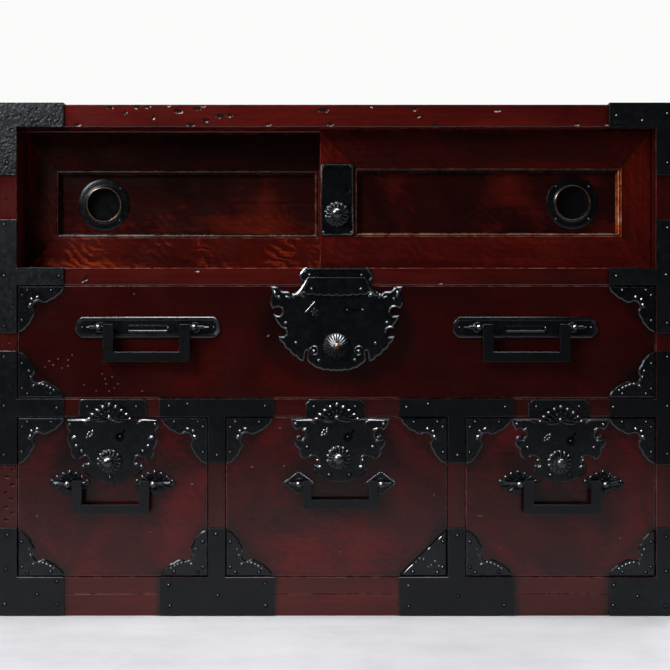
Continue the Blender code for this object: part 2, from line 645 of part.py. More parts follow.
def build_bail(name, carrier, x, z, half_width, leg, bar, reach):
    """A square drop handle, hanging from pins that turn in its eye posts."""
    outline = [
        (-half_width, BAIL_CROWN), (-half_width, -reach), (half_width, -reach), (half_width, BAIL_CROWN),
        (half_width - leg, BAIL_CROWN), (half_width - leg, bar - reach), (leg - half_width, bar - reach),
        (leg - half_width, BAIL_CROWN),
    ]
    hinge = body(f"{name}_body", (x, PIVOT_Y, z), carrier)
    half = BAIL_THICKNESS / 2
    handle = plate(name, outline, (x, z), PIVOT_Y + half, PIVOT_Y - half, IRON, hinge)
    for side in (-1, 1):
        start = half_width - leg / 2
        end = bail_post_x(half_width) + POST_RADIUS + PIN_OVERHANG
        middle = (x + side * (start + end) / 2, PIVOT_Y, z)
        join(handle, rod(f"{name} pin {side}", middle, "X", PIN_RADIUS, end - start, PIN_SIDES))


def build_long_drawer():
    name = "long_drawer"
    carrier, front = build_drawer(name, -HALF_OPENING, HALF_OPENING, LONG_BAY_Z, DOOR_SHELF_Z)
    top = DOOR_SHELF_Z - DRAWER_GAP
    build_lock(
        name, carrier, front, 0, top, LONG_LOCK_DROP, LONG_PLATE, LONG_TONGUE, LONG_CASE, LONG_BOSS,
        LONG_BOSS_DROP,
    )
    length, tall = HANDLE_PLATE_HALF / MM, HANDLE_PLATE_HEIGHT / MM / 2
    cut, bulge = HANDLE_PLATE_CORNER / MM, HANDLE_CORNER_BULGE
    half = [
        (0, tall, 0), (length - cut, tall, bulge), (length, tall - cut, 0),
        (length, cut - tall, bulge), (length - cut, -tall, 0), (0, -tall, 0),
    ]
    z = top - LONG_HANDLE_DROP
    for side_name, side in (("left", -1), ("right", 1)):
        x = side * LONG_HANDLE_OFFSET
        handle = f"{name}_{side_name}"
        outline, back_y = mirrored_outline(half), FRONT_Y - JOINT_GAP
        back = plate(f"{handle}_handle_plate", outline, (x, z), back_y, PLATE_Y, IRON, carrier)
        for end in (-1, 1):
            post_x = x + end * bail_post_x(LONG_BAIL_HALF)
            join(back, eye_post(f"{handle} {end}", post_x, z))
        build_bail(
            f"{handle}_bail", carrier, x, z, LONG_BAIL_HALF, LONG_BAIL_LEG, LONG_BAIL_BAR, LONG_BAIL_HEIGHT
        )


def build_small_drawer(name, low_x, high_x, shift, lock_half, rosette_half, bail):
    carrier, front = build_drawer(name, low_x, high_x, BOTTOM_TOP, MIDDLE_SHELF_Z)
    x, top = (low_x + high_x) / 2 + shift, MIDDLE_SHELF_Z - DRAWER_GAP
    build_lock(
        name, carrier, front, x, top, SMALL_LOCK_DROP, lock_half, FLOWER_TONGUE, SMALL_CASE, SMALL_BOSS,
        SMALL_BOSS_DROP,
    )
    z = top - SMALL_HANDLE_DROP
    for side_name, side in (("left", -1), ("right", 1)):
        post_x = x + side * bail_post_x(bail[0])
        outline, back_y = mirrored_outline(rosette_half), FRONT_Y - JOINT_GAP
        rosette = plate(
            f"{name}_{side_name}_rosette", outline, (post_x, z), back_y, PLATE_Y, IRON, carrier
        )
        join(rosette, eye_post(f"{name} {side_name}", post_x, z))
    build_bail(f"{name}_bail", carrier, x, z, *bail)


# Each bay's name, its two sides and how far its drawer's fittings stand right of its middle.
SMALL_BAYS = [
    ("left_drawer", -HALF_OPENING, -HALF_MIDDLE_BAY - DIVIDER_THICKNESS, 0),
    ("middle_drawer", -HALF_MIDDLE_BAY, HALF_MIDDLE_BAY, MIDDLE_FITTING_SHIFT),
    ("right_drawer", HALF_MIDDLE_BAY + DIVIDER_THICKNESS, HALF_OPENING, 0),
]
SMALL_BAIL = (SMALL_BAIL_HALF, SMALL_BAIL_LEG, SMALL_BAIL_BAR, SMALL_BAIL_HEIGHT)
MIDDLE_BAIL = (MIDDLE_BAIL_HALF, MIDDLE_BAIL_LEG, SMALL_BAIL_BAR, MIDDLE_BAIL_HEIGHT)
SMALL_FITTINGS = {
    "left_drawer": (LEFT_PLATE, LEAF_ROSETTE, SMALL_BAIL),
    "middle_drawer": (SMALL_PLATE, DIAMOND_ROSETTE, MIDDLE_BAIL),
    "right_drawer": (SMALL_PLATE, LEAF_ROSETTE, SMALL_BAIL),
}

for leftover in list(bpy.data.objects):
    bpy.data.objects.remove(leftover, do_unlink=True)
PARTS = make_collection("Tansu")
HELPERS = make_collection("Boolean helpers")
LACQUER = make_material("lacquered_wood", (0.075, 0.012, 0.009), 0.25, 0.0)
DOOR_WOOD = make_material("figured_door_wood", (0.100, 0.020, 0.010), 0.22, 0.0)
BARE_WOOD = make_material("bare_wood", (0.42, 0.29, 0.17), 0.7, 0.0)
IRON = make_material("black_iron", (0.022, 0.024, 0.028), 0.42, 0.9)

build_boards()
build_straps()
build_doors()
build_long_drawer()
for bay_name, bay_low, bay_high, bay_shift in SMALL_BAYS:
    build_small_drawer(bay_name, bay_low, bay_high, bay_shift, *SMALL_FITTINGS[bay_name])
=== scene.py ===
"""Looks of the lacquered chest: worn lacquer, figured doors, black irons with their relief, light and camera.

Metres, +Z up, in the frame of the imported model. The front faces -Y.
"""

import math

import bmesh
import bpy
from mathutils import Matrix, Vector, noise


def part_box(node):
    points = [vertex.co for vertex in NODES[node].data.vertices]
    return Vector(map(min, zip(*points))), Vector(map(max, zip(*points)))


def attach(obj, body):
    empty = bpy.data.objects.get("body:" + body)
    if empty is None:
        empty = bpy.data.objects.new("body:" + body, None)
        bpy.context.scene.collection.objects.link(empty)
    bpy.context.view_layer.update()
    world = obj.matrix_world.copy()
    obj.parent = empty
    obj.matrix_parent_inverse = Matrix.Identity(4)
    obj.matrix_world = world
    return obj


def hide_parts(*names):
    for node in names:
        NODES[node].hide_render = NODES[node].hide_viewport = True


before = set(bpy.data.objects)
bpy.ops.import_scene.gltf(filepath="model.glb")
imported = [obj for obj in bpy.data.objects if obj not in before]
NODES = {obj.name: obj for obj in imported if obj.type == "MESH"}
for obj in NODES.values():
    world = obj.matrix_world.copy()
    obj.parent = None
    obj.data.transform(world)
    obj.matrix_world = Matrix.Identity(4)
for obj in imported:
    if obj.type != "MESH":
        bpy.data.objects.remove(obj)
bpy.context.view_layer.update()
MM = 0.001
TINY = 1e-6

# Planes and heights of the model.
FRONT_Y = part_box("left_side_panel")[0].y
STRAP_THICK = 0.0023
STRAP_FRONT = FRONT_Y - STRAP_THICK
IRON_BACK = FRONT_Y - 0.0003
PLATE_FRONT = FRONT_Y - 0.0021
CORNER_FRONT = PLATE_FRONT + 0.0004
STRIKE_FRONT = FRONT_Y - 0.0012
TONGUE_BACK = FRONT_Y - 0.0015
TONGUE_FRONT = FRONT_Y - 0.0042
POST_FRONT = FRONT_Y - 0.0162
FRONT_DEPTH = 0.008
HALF_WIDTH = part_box("right_side_panel")[1].x
TOP_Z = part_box("top_panel")[1].z

# Millimetres to a pixel of the photograph on the front plane, and the pixel at the middle of the foot.
PIXEL = 1.31
PIXEL_X0 = 336.5
PIXEL_Z0 = 616.0


def front_point(px, py):
    """Where a pixel of the photograph lies on the front plane, as (x, z) in millimetres."""
    return (px - PIXEL_X0) * PIXEL, (PIXEL_Z0 - py) * PIXEL


def middle_of(node):
    """The middle of a node's box, seen from the front, as (x, z)."""
    low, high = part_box(node)
    return (low.x + high.x) / 2, (low.z + high.z) / 2


def srgb(red, green, blue):
    """A colour given in display values from 0 to 255, as linear light."""

    def linear(value):
        value /= 255
        return value / 12.92 if value <= 0.04045 else ((value + 0.055) / 1.055) ** 2.4

    return linear(red), linear(green), linear(blue), 1.0


def tones(*colours):
    """The colours of a material, each given in display values."""
    return tuple(srgb(*colour) for colour in colours)


class Nodes:
    """Adds nodes to a tree. A value is a number, a vector, a colour or another node's output."""

    def __init__(self, tree):
        self.tree = tree

    def node(self, kind, settings=None, **inputs):
        made = self.tree.nodes.new(kind)
        for key, value in (settings or {}).items():
            setattr(made, key, value)
        for key, value in inputs.items():
            self.feed(made.inputs[key.replace("_", " ")], value)
        return made

    def feed(self, socket, value):
        if isinstance(value, bpy.types.NodeSocket):
            self.tree.links.new(value, socket)
        else:
            socket.default_value = value

    def pair(self, kind, operation, first, second):
        made = self.node(kind, {"operation": operation})
        self.feed(made.inputs[0], first)
        self.feed(made.inputs[1], second)
        return made.outputs

    def calc(self, operation, first, second=0.0):
        return self.pair("ShaderNodeMath", operation, first, second)[0]

    def add(self, first, second):
        return self.calc("ADD", first, second)

    def less(self, first, second):
        return self.calc("SUBTRACT", first, second)

    def times(self, first, second):
        return self.calc("MULTIPLY", first, second)

    def larger(self, first, second):
        return self.calc("MAXIMUM", first, second)

    def vector(self, operation, first, second=(0, 0, 0)):
        outputs = self.pair("ShaderNodeVectorMath", operation, first, second)
        return outputs["Value" if operation in ("LENGTH", "DOT_PRODUCT") else "Vector"]

    def axes(self, vector):
        return self.node("ShaderNodeSeparateXYZ", Vector=vector).outputs

    def range(self, value, low, high, start=0.0, end=1.0):
        """The value carried over from low..high to start..end, held at both ends."""
        return self.node(
            "ShaderNodeMapRange", {"interpolation_type": "SMOOTHSTEP"}, Value=value, From_Min=low,
            From_Max=high, To_Min=start, To_Max=end,
        ).outputs["Result"]

    def mix(self, share, first, second, kind="RGBA"):
        made = self.node("ShaderNodeMix", {"data_type": kind})
        for key, value in (("Factor", share), ("A", first), ("B", second)):
            self.feed(made.inputs[key], value)
        return made.outputs["Result"]

    def rays(self):
        """Whether a ray comes from the camera, and whether it is mirrored or let through."""
        kinds = self.node("ShaderNodeLightPath").outputs
        return kinds["Is Camera Ray"], self.larger(kinds["Is Glossy Ray"], kinds["Is Transmission Ray"])


# Faces that look up and to the left, toward the lamps, take the rubbed colours: partly wear, partly painted
# highlight.
WORN_AND_LIT_SIDE = (-0.5, 0, 0.85)


class Shader(Nodes):
    """A material, built up from the rest position of each point."""

    def __init__(self, name, seed=0):
        self.material = bpy.data.materials.new(name)
        self.material.use_nodes = True
        super().__init__(self.material.node_tree)
        self.surface = self.tree.nodes["Principled BSDF"]
        self.rest = self.node("ShaderNodeTexCoord").outputs["Object"]
        shift = (seed * 7.31, seed * 3.17, seed * 5.73)
        self.place = self.node("ShaderNodeMapping", Vector=self.rest, Location=shift).outputs["Vector"]

    def scaled(self, x, y, z):
        return self.node("ShaderNodeMapping", Vector=self.place, Scale=(x, y, z)).outputs["Vector"]

    def noise(self, vector, scale, detail=2.0, roughness=0.5, distortion=0.0, output="Fac"):
        return self.node(
            "ShaderNodeTexNoise", Vector=vector, Scale=scale, Detail=detail, Roughness=roughness,
            Distortion=distortion,
        ).outputs[output]

    def facing(self):
        """How far a face looks to the worn and lit side."""
        return self.vector("DOT_PRODUCT", self.node("ShaderNodeTexCoord").outputs["Normal"], WORN_AND_LIT_SIDE)

    def reach(self, vector, x, z, wide, tall, turn=0.0):
        """How far a point is from (x, z) on the front, in half widths of a turned ellipse."""
        away = self.vector("SUBTRACT", vector, (x, FRONT_Y, z))
        if turn:
            spin = (0, math.radians(turn), 0)
            away = self.node("ShaderNodeMapping", Vector=away, Rotation=spin).outputs["Vector"]
        return self.vector("LENGTH", self.vector("MULTIPLY", away, (1 / wide, 1 / FRONT_DEPTH, 1 / tall)))

    def nearest(self, vector, spots):
        """How far a point of the front is from the nearest of some ellipses."""
        least = None
        for spot in spots:
            away = self.reach(vector, *spot)
            least = away if least is None else self.calc("MINIMUM", least, away)
        return least

    def ramp(self, value, *stops):
        made = self.node("ShaderNodeValToRGB", Fac=value)
        points = made.color_ramp.elements
        while len(points) < len(stops):
            points.new(0.5)
        for point, (position, colour) in zip(points, stops):
            point.position = position
            point.color = colour
        return made.outputs["Color"]

    def bump(self, height, distance, strength=1.0, below=None):
        made = self.node("ShaderNodeBump", Height=height, Distance=distance, Strength=strength)
        if below:
            self.feed(made.inputs["Normal"], below)
        return made.outputs["Normal"]

    def done(self, colour, roughness, normal, **fixed):
        self.feed(self.surface.inputs["Base Color"], colour)
        self.feed(self.surface.inputs["Roughness"], roughness)
        self.feed(self.surface.inputs["Normal"], normal)
        for key, value in fixed.items():
            self.surface.inputs[key.replace("_", " ")].default_value = value
        return self.material


LACQUER_SHINE = 0.33
LONG_SHINE = 0.5 * LACQUER_SHINE
CHIP_HIGHLIGHT_SHIFT = (0.0006, 0, -0.0011)
CHIP_RAGGED = (0.0056, 0, 0.0036)
CHIP_CORE = srgb(20, 9, 9)
PALE_LIP_HIGHLIGHT = srgb(214, 184, 176)
DARK_LIP_HIGHLIGHT = srgb(112, 70, 62)
BARE_SPECK = srgb(150, 92, 80)
# Dark tone of dirt, also laid on as painted shade.
GRIME_AND_SHADE_TONE = srgb(15, 8, 8)


def lacquer(
    name, along, colours, seed, gloss=(0.16, 0.26), streak=0.5, cloud=0.4, figure=0.0, grime_and_shade=(), chips=(),
    specks=(), shine=LACQUER_SHINE, lip_highlight_colour=PALE_LIP_HIGHLIGHT,
):
    """Worn lacquer over wood whose grain runs along X or Z.

    Grime and shade is a list of masks over the front, each made by a function of the shader; they paint dirt
    and also shade into the colour. Chips are dark gouges with a painted highlight on a lip at their lower
    right and specks are small bare spots; both are (x, z, wide, tall, turn).
    """
    s = Shader(name, seed)

    def grain(slow, fast):
        return s.scaled(slow, fast, fast) if along == "X" else s.scaled(fast, fast, slow)

    bands = s.noise(grain(1.5, 24), 1.0, 5.0, 0.62, 0.8)
    fibre = s.noise(grain(9, 300), 1.0, 2.0, 0.6)
    pores = s.noise(grain(45, 700), 1.0, 1.0, 0.5)
    clouds = s.noise(s.place, 9.0, 4.0, 0.55, 0.4)
    tone = s.add(s.times(bands, streak), s.times(clouds, cloud))
    tone = s.add(tone, (1 - streak - cloud) / 2)
    fine = s.add(s.times(s.less(fibre, 0.5), 0.2), s.times(s.less(pores, 0.5), 0.16))
    tone = s.add(tone, s.times(fine, 0.4 + streak))
    if figure:
        wave = s.node(
            "ShaderNodeTexWave", {"bands_direction": "DIAGONAL"}, Vector=grain(0.7, 1.0), Scale=44.0,
            Distortion=14.0, Detail=3.0, Detail_Scale=0.8, Detail_Roughness=0.6,
        ).outputs["Fac"]
        flame = s.range(s.noise(s.place, 14.0, 4.0, 0.65, 0.8), 0.34, 0.62)
        curl = s.times(s.less(wave, 0.45), s.times(flame, 0.24 * figure))
        tone = s.add(tone, s.add(curl, s.times(flame, 0.06 * figure)))
    dark, middle, bright = colours
    colour = s.ramp(tone, (0.34, dark), (0.52, middle), (0.74, bright))
    rough = s.range(s.noise(s.place, 22.0, 4.0, 0.65), 0.3, 0.7, *gloss)
    for mask in grime_and_shade:
        uneven = s.range(clouds, 0.25, 0.7, 0.85, 0.45)
        colour = s.mix(s.times(mask(s), uneven), colour, GRIME_AND_SHADE_TONE)
    normal = s.bump(fibre, 0.0004, 0.12, s.bump(s.noise(s.place, 26.0, 2.0), 0.0010, 0.10))
    if chips:
        stray = s.vector("MULTIPLY", s.noise(s.place, 330.0, 3.0, 0.7, output="Color"), CHIP_RAGGED)
        ragged = s.vector("SUBTRACT", s.vector("ADD", s.rest, stray), [size / 2 for size in CHIP_RAGGED])
        # Painted highlight: a pale lip on the lower right side of each chip, where the lamps catch it.
        lip = s.nearest(s.vector("SUBTRACT", ragged, CHIP_HIGHLIGHT_SHIFT), chips)
        core = s.nearest(ragged, chips)
        pale = s.times(s.range(lip, 0.84, 0.98, 1.0, 0.0), s.range(s.noise(s.place, 260.0, 1.0), 0.46, 0.56))
        colour = s.mix(s.range(core, 0.86, 1.16, 0.9, 0.0), colour, CHIP_CORE)
        colour = s.mix(s.times(pale, s.range(core, 0.8, 1.0)), colour, lip_highlight_colour)
        rough = s.larger(rough, s.range(core, 0.9, 1.1, 0.6, 0.0))
        normal = s.bump(s.range(core, 0.5, 1.05), 0.0004, 1.0, normal)
        s.feed(s.surface.inputs["Specular IOR Level"], s.range(core, 0.9, 1.1, 0.08, shine))
    if specks:
        bare = s.range(s.nearest(s.rest, specks), 0.5, 1.1, 0.75, 0.0)
        colour = s.mix(bare, colour, BARE_SPECK)
    return s.done(colour, rough, normal, Specular_IOR_Level=shine)


def beside(x, z, wide, tall, soft=0.3):
    """Darkening in an ellipse about a point of the front: dirt and painted shade round a drawer's lock."""
    return lambda s: s.range(s.reach(s.rest, x, z, wide, tall), 1.0, 1.0 + soft, 1.0, 0.0)


def in_corners(low, high, leg, soft=0.018):
    """Darkening past the corner plates of a board between two corners of the front: dirt and painted shade."""
    middle = ((low.x + high.x) / 2, 0, (low.z + high.z) / 2)
    edge = (high.x - low.x + high.z - low.z) / 2 - leg

    def mask(s):
        across = s.vector("ABSOLUTE", s.vector("SUBTRACT", s.rest, middle))
        return s.range(s.vector("DOT_PRODUCT", across, (1, 0, 1)), edge - soft, edge)

    return mask


def at_straps(*spans, soft=0.009):
    """Darkening just outside irons that lie between pairs of x, on the front and a little behind it; dirt and
    painted shade.
    """

    def mask(s):
        axes = s.axes(s.rest)
        total = None
        for start, end in spans:
            away = s.calc("ABSOLUTE", s.less(axes["X"], (start + end) / 2))
            half = (end - start) / 2
            part = s.range(away, half, half + soft, 1.0, 0.0)
            total = part if total is None else s.larger(total, part)
        return s.times(total, s.range(axes["Y"], FRONT_Y + 0.05, FRONT_Y + 0.08, 1.0, 0.0))

    return mask


def toward_right(start, end, share):
    """Painted shade that grows along X up to a share, as the lamps' light falls off toward the right."""
    return lambda s: s.range(s.axes(s.rest)["X"], start, end, 0.0, share)


def worn_and_lit_edge(name, colours, seed, shine=0.8, facing_from=-0.3, facing_span=0.7):
    """Rubbed arrises: worn tones on those that face the worn and lit side, and only dark on the others; partly
    wear, partly painted highlight and shade.
    """
    s = Shader(name, seed)
    wear = s.noise(s.place, 46.0, 5.0, 0.7, 0.6)
    colour = s.ramp(wear, (0.4, colours[0]), (0.56, colours[1]), (0.74, colours[2]))
    # Painted highlight and shade: worn tones only on arrises that face the lamps, a dark tone on the rest.
    colour = s.mix(s.range(s.facing(), facing_from, facing_from + facing_span), srgb(26, 9, 8), colour)
    rough = s.range(wear, 0.4, 0.7, 0.2, 0.45)
    return s.done(colour, rough, s.bump(wear, 0.0004, 0.15), Specular_IOR_Level=shine)


def plain_wood(name, stretch, light, dark, seed):
    """Planed softwood with growth lines; the stretch of its grain is least along them."""
    s = Shader(name, seed)
    lines = s.noise(s.scaled(*stretch), 1.0, 4.0, 0.6, 0.5)
    stain = s.noise(s.place, 5.0, 3.0)
    colour = s.mix(s.range(lines, 0.42, 0.62), light, dark)
    colour = s.mix(s.range(stain, 0.45, 0.75, 0.0, 0.45), colour, srgb(96, 66, 44))
    return s.done(colour, s.range(lines, 0.3, 0.7, 0.55, 0.75), s.bump(lines, 0.0005, 0.3))


def iron(name, colours, seed, gloss, shine=0.5, bare=None, hammer=0.0, fine=0.05, grain_scale=900.0):
    """Black lacquered iron, with hammer marks, duller patches and a little rust.

    Bare is the grey of the metal, set with metallic on flanks that face the worn and lit side: partly lacquer
    rubbed off, partly painted highlight.
    """
    s = Shader(name, seed)
    patch = s.noise(s.place, 34.0, 4.0, 0.65)
    grain = s.noise(s.place, grain_scale, 2.0, 0.6)
    dark, light, rust = colours
    colour = s.ramp(patch, (0.36, dark), (0.66, light))
    rusty = s.range(s.noise(s.place, 75.0, 4.0, 0.7, 0.4), 0.66, 0.76, 0.0, 0.8)
    colour = s.mix(rusty, colour, rust)
    rough = s.range(s.noise(s.place, 120.0, 3.0, 0.6), 0.3, 0.7, *gloss)
    normal = s.bump(grain, 0.27 / grain_scale, fine)
    if hammer:
        dents = s.range(s.noise(s.place, 190.0, 4.0, 0.6), 0.3, 0.42)
        wobble = s.noise(s.place, 30.0, 3.0, 0.5)
        normal = s.bump(dents, 0.0007, 0.6 * hammer, s.bump(wobble, 0.003, 0.4 * hammer, normal))
    # A painted highlight along with wear: bare metal only on flanks that face the lamps.
    if bare:
        rubbed = s.range(s.add(s.facing(), s.range(patch, 0.3, 0.7, -0.08, 0.08)), 0.14, 0.38)
        colour = s.mix(rubbed, colour, srgb(*bare))
        s.feed(s.surface.inputs["Metallic"], rubbed)
    return s.done(colour, rough, normal, Specular_IOR_Level=shine, Specular_Tint=(0.88, 0.94, 1.0, 1.0))


RED_TOP = tones((50, 10, 9), (84, 19, 15), (116, 30, 21))
RED_RAIL = tones((48, 11, 10), (76, 17, 13), (104, 28, 20))
RED_SILL = tones((42, 10, 9), (64, 14, 11), (90, 24, 18))
RED_MIDDLE = tones((34, 9, 8), (50, 12, 10), (76, 20, 15))
RED_POST = tones((38, 9, 8), (60, 14, 12), (86, 23, 18))
RED_LONG = tones((28, 7, 7), (46, 9, 8), (72, 13, 10))
RED_SMALL = tones((32, 7, 8), (59, 11, 11), (100, 18, 16))
# Door rails: the left low rail's bright tones are painted light, the top rails' dark tones painted shadow under
# the top board.
RED_LIT_LOW_RAIL = tones((44, 10, 8), (80, 18, 11), (172, 60, 25))
RED_SHADED_TOP_RAIL = tones((15, 6, 5), (30, 9, 8), (66, 18, 12))
RED_RIGHT_RAIL = tones((40, 9, 8), (66, 13, 10), (104, 25, 15))
RED_SHADED_RIGHT_TOP = tones((26, 7, 7), (48, 11, 10), (80, 19, 13))
RED_STILE = tones((40, 9, 8), (70, 14, 10), (110, 27, 15))
RED_LEFT_STILE = tones((40, 9, 8), (80, 18, 9), (144, 44, 16))
RED_RIGHT_PANEL = tones((20, 5, 5), (42, 9, 8), (88, 21, 12))
RED_PANEL = tones((21, 6, 5), (42, 10, 8), (98, 27, 13))
BLACK = tones((7, 8, 9), (13, 14, 17), (28, 21, 18))
RUBBED = tones((15, 16, 18), (34, 36, 39), (52, 42, 36))


def chips_at(*spots):
    """Chips or specks from (x, y, wide, tall, turn) in pixels of the photograph; the turn may be left out."""
    made = []
    for px, py, wide, tall, *turn in spots:
        x, z = front_point(px, py)
        made.append((x * MM, z * MM, wide * PIXEL * MM, tall * PIXEL * MM, *turn))
    return made


TOP_CHIPS = chips_at(
    (110, 107, 3.4, 1.8), (125, 112.5, 1.6, 2.0), (137, 107, 3.2, 1.7), (147, 106, 3.4, 2.0),
    (178, 111, 5.0, 2.3), (197, 109, 4.2, 1.8), (203, 105.5, 2.4, 1.4), (220, 116, 5.6, 2.2),
    (230, 115.5, 3.6, 1.6), (206, 120, 4.4, 1.8), (190, 124.5, 4.6, 1.8), (153, 117.5, 1.8, 1.8),
    (77, 124.5, 3.6, 1.6), (168, 105, 2.6, 1.4), (323, 110, 6.0, 2.2), (330, 124, 3.4, 1.5),
    (414, 109, 3.2, 1.5), (418, 116, 2.2, 1.4), (435, 125, 3.0, 1.4), (497, 110, 3.4, 1.5),
    (577, 124, 3.0, 1.4), (607, 124, 2.6, 1.4), (268, 124.5, 3.0, 1.3), (372, 106, 2.6, 1.3),
)
SILL_CHIPS = chips_at((85.5, 278.5, 5.6, 1.5, 42), (196, 270.5, 2.6, 1.2), (440, 283, 2.4, 1.1))
POST_CHIPS = chips_at(
    (5, 465, 2.6, 1.1), (12, 470, 2.2, 1.1, 12), (7, 477, 3.0, 1.2, -8), (12, 485, 2.4, 1.2),
    (5, 492, 2.4, 1.1, 10), (11, 499, 2.8, 1.2, -10), (6, 507, 2.6, 1.2), (12, 513, 2.2, 1.0, 8),
    (6, 520, 2.2, 1.1), (9, 342, 2.4, 1.1), (5, 348, 2.0, 1.0), (6, 199, 1.3, 1.4),
)
DRAWER_SPECKS = {
    "long_drawer": chips_at(
        (49, 361, 1.2, 0.9), (53, 365, 1.1, 0.9), (58, 359, 0.9, 0.9), (68, 360, 1.2, 0.9),
        (68, 366, 0.9, 0.8), (84, 385, 1.0, 0.8), (106, 384, 1.0, 0.9), (112, 377, 0.9, 0.8),
        (102, 374, 0.9, 0.8), (109, 391, 1.0, 0.8), (45, 367, 0.8, 0.8), (62, 368, 0.8, 0.7),
        (72, 355, 0.8, 0.7), (118, 384, 1.1, 0.7), (105, 379, 0.8, 0.8), (114, 388, 0.9, 0.7),
        (96, 391, 0.9, 0.7), (142, 391, 1.0, 0.8), (134, 294, 0.9, 0.9), (268, 336, 2.0, 1.0, 30),
    ),
    "left_drawer": chips_at((192, 484, 1.6, 0.9), (37, 516, 1.2, 0.9), (150, 532, 0.8, 0.7)),
    "middle_drawer": chips_at(
        (252, 467, 1.6, 0.9, 15), (284, 466, 1.2, 0.8), (280, 428, 1.1, 0.9), (434, 495, 0.9, 0.8),
        (340, 552, 0.9, 0.7),
    ),
    "right_drawer": chips_at((480, 516, 3.4, 0.5, -6), (620, 538, 0.9, 0.8), (500, 548, 0.8, 0.7)),
}

STRAP_SHADE = at_straps((-0.46, -0.358), (0.358, 0.46))
LOW_SHADE = at_straps((-0.46, -0.3565), (-0.232, -0.081), (0.084, 0.2345), (0.355, 0.46))
# A painted shadow of the left post on the left door's outer stile, laid on twice.
STILE_SHADE = at_straps((-0.46, -0.393), soft=0.031)
# Painted shade: the top board and the sill darken toward the right, away from the lamps.
RIGHT_SHADE = toward_right(-0.1, 0.3, 0.35)
EDGES_SHADE = [STRAP_SHADE, RIGHT_SHADE]
TOP_LACQUER = lacquer("top_lacquer", "X", RED_TOP, 1, cloud=0.3, grime_and_shade=EDGES_SHADE, chips=TOP_CHIPS)
RAIL_LACQUER = lacquer("rail_lacquer", "X", RED_RAIL, 2, cloud=0.3, grime_and_shade=[LOW_SHADE])
SILL_LACQUER = lacquer("sill_lacquer", "X", RED_SILL, 23, cloud=0.3, grime_and_shade=EDGES_SHADE, chips=SILL_CHIPS)
MIDDLE_LACQUER = lacquer("middle_rail_lacquer", "X", RED_MIDDLE, 24)
POST_LACQUER = lacquer("post_lacquer", "Z", RED_POST, 3, cloud=0.3, chips=POST_CHIPS, lip_highlight_colour=DARK_LIP_HIGHLIGHT)
# Door woods: the top rails are painted dark as the shadow of the top board, the left low rail painted bright
# where the light reaches it.
DOOR_WOODS = {
    "left_door": {
        "low": lacquer("left_door_lit_low_rail", "X", RED_LIT_LOW_RAIL, 6, figure=0.85),
        "top": lacquer("left_door_shaded_top_rail", "X", RED_SHADED_TOP_RAIL, 26, figure=0.4, shine=0.16),
        "left": lacquer(
            "left_door_outer_stile", "Z", RED_LEFT_STILE, 27, figure=0.6, grime_and_shade=[STILE_SHADE, STILE_SHADE],
            shine=0.2,
        ),
        "right": lacquer("left_door_meeting_stile", "Z", RED_STILE, 31, figure=0.6),
    },
    "right_door": {
        "low": lacquer("right_door_low_rail", "X", RED_RIGHT_RAIL, 32, figure=0.4),
        "top": lacquer("right_door_shaded_top_rail", "X", RED_SHADED_RIGHT_TOP, 33, figure=0.3),
        "left": lacquer("right_door_meeting_stile", "Z", RED_STILE, 34, figure=0.4),
        "right": lacquer("right_door_outer_stile", "Z", RED_STILE, 7, figure=0.4),
    },
}


def drawer_lacquer(drawer, colours, seed, leg, lock, cloud=0.75, shine=LACQUER_SHINE):
    """Lacquer of a drawer front, darkened past its corner plates and in an ellipse round its lock: dirt and
    painted shade.
    """
    low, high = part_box(f"{drawer}_front")
    grime_and_shade = [in_corners(low, high, leg), beside((low.x + high.x) / 2, *lock)]
    return lacquer(
        f"{drawer}_lacquer", "X", colours, seed, (0.17, 0.27), 0.16, cloud, 0.25, grime_and_shade,
        specks=DRAWER_SPECKS[drawer], shine=shine,
    )


LONG_LOCK_GRIME_AND_SHADE = (0.372, 0.090, 0.062, 0.25)
SMALL_LOCK_GRIME_AND_SHADE = (0.208, 0.066, 0.062, 0.4)
BOARDS = {
    "base_frame": RAIL_LACQUER,
    "bottom_panel": RAIL_LACQUER,
    "left_side_panel": POST_LACQUER,
    "right_side_panel": POST_LACQUER,
    "left_divider": POST_LACQUER,
    "right_divider": POST_LACQUER,
    "middle_shelf": MIDDLE_LACQUER,
    "door_shelf": SILL_LACQUER,
    "top_panel": TOP_LACQUER,
    "left_door_frame": DOOR_WOODS["left_door"]["top"],
    "right_door_frame": DOOR_WOODS["right_door"]["top"],
    "left_door_panel": lacquer("left_door_panel_wood", "X", RED_PANEL, 8, streak=0.3, cloud=0.7, figure=0.3),
    "right_door_panel": lacquer(
        "right_door_panel_wood", "X", RED_RIGHT_PANEL, 35, streak=0.1, cloud=1.0, figure=0.3,
    ),
    "long_drawer_front": drawer_lacquer("long_drawer", RED_LONG, 4, 0.062, LONG_LOCK_GRIME_AND_SHADE, 0.45, LONG_SHINE),
    "left_drawer_front": drawer_lacquer("left_drawer", RED_SMALL, 5, 0.064, SMALL_LOCK_GRIME_AND_SHADE),
    "middle_drawer_front": drawer_lacquer("middle_drawer", RED_SMALL, 28, 0.064, SMALL_LOCK_GRIME_AND_SHADE),
    "right_drawer_front": drawer_lacquer("right_drawer", RED_SMALL, 29, 0.064, SMALL_LOCK_GRIME_AND_SHADE),
}
EDGE = worn_and_lit_edge("rubbed_and_lit_edge", tones((78, 24, 19), (110, 46, 37), (150, 98, 84)), 9)
BEAD = worn_and_lit_edge("rubbed_and_lit_bead", tones((92, 40, 27), (128, 66, 45), (176, 112, 82)), 10, 0.35, -0.05)
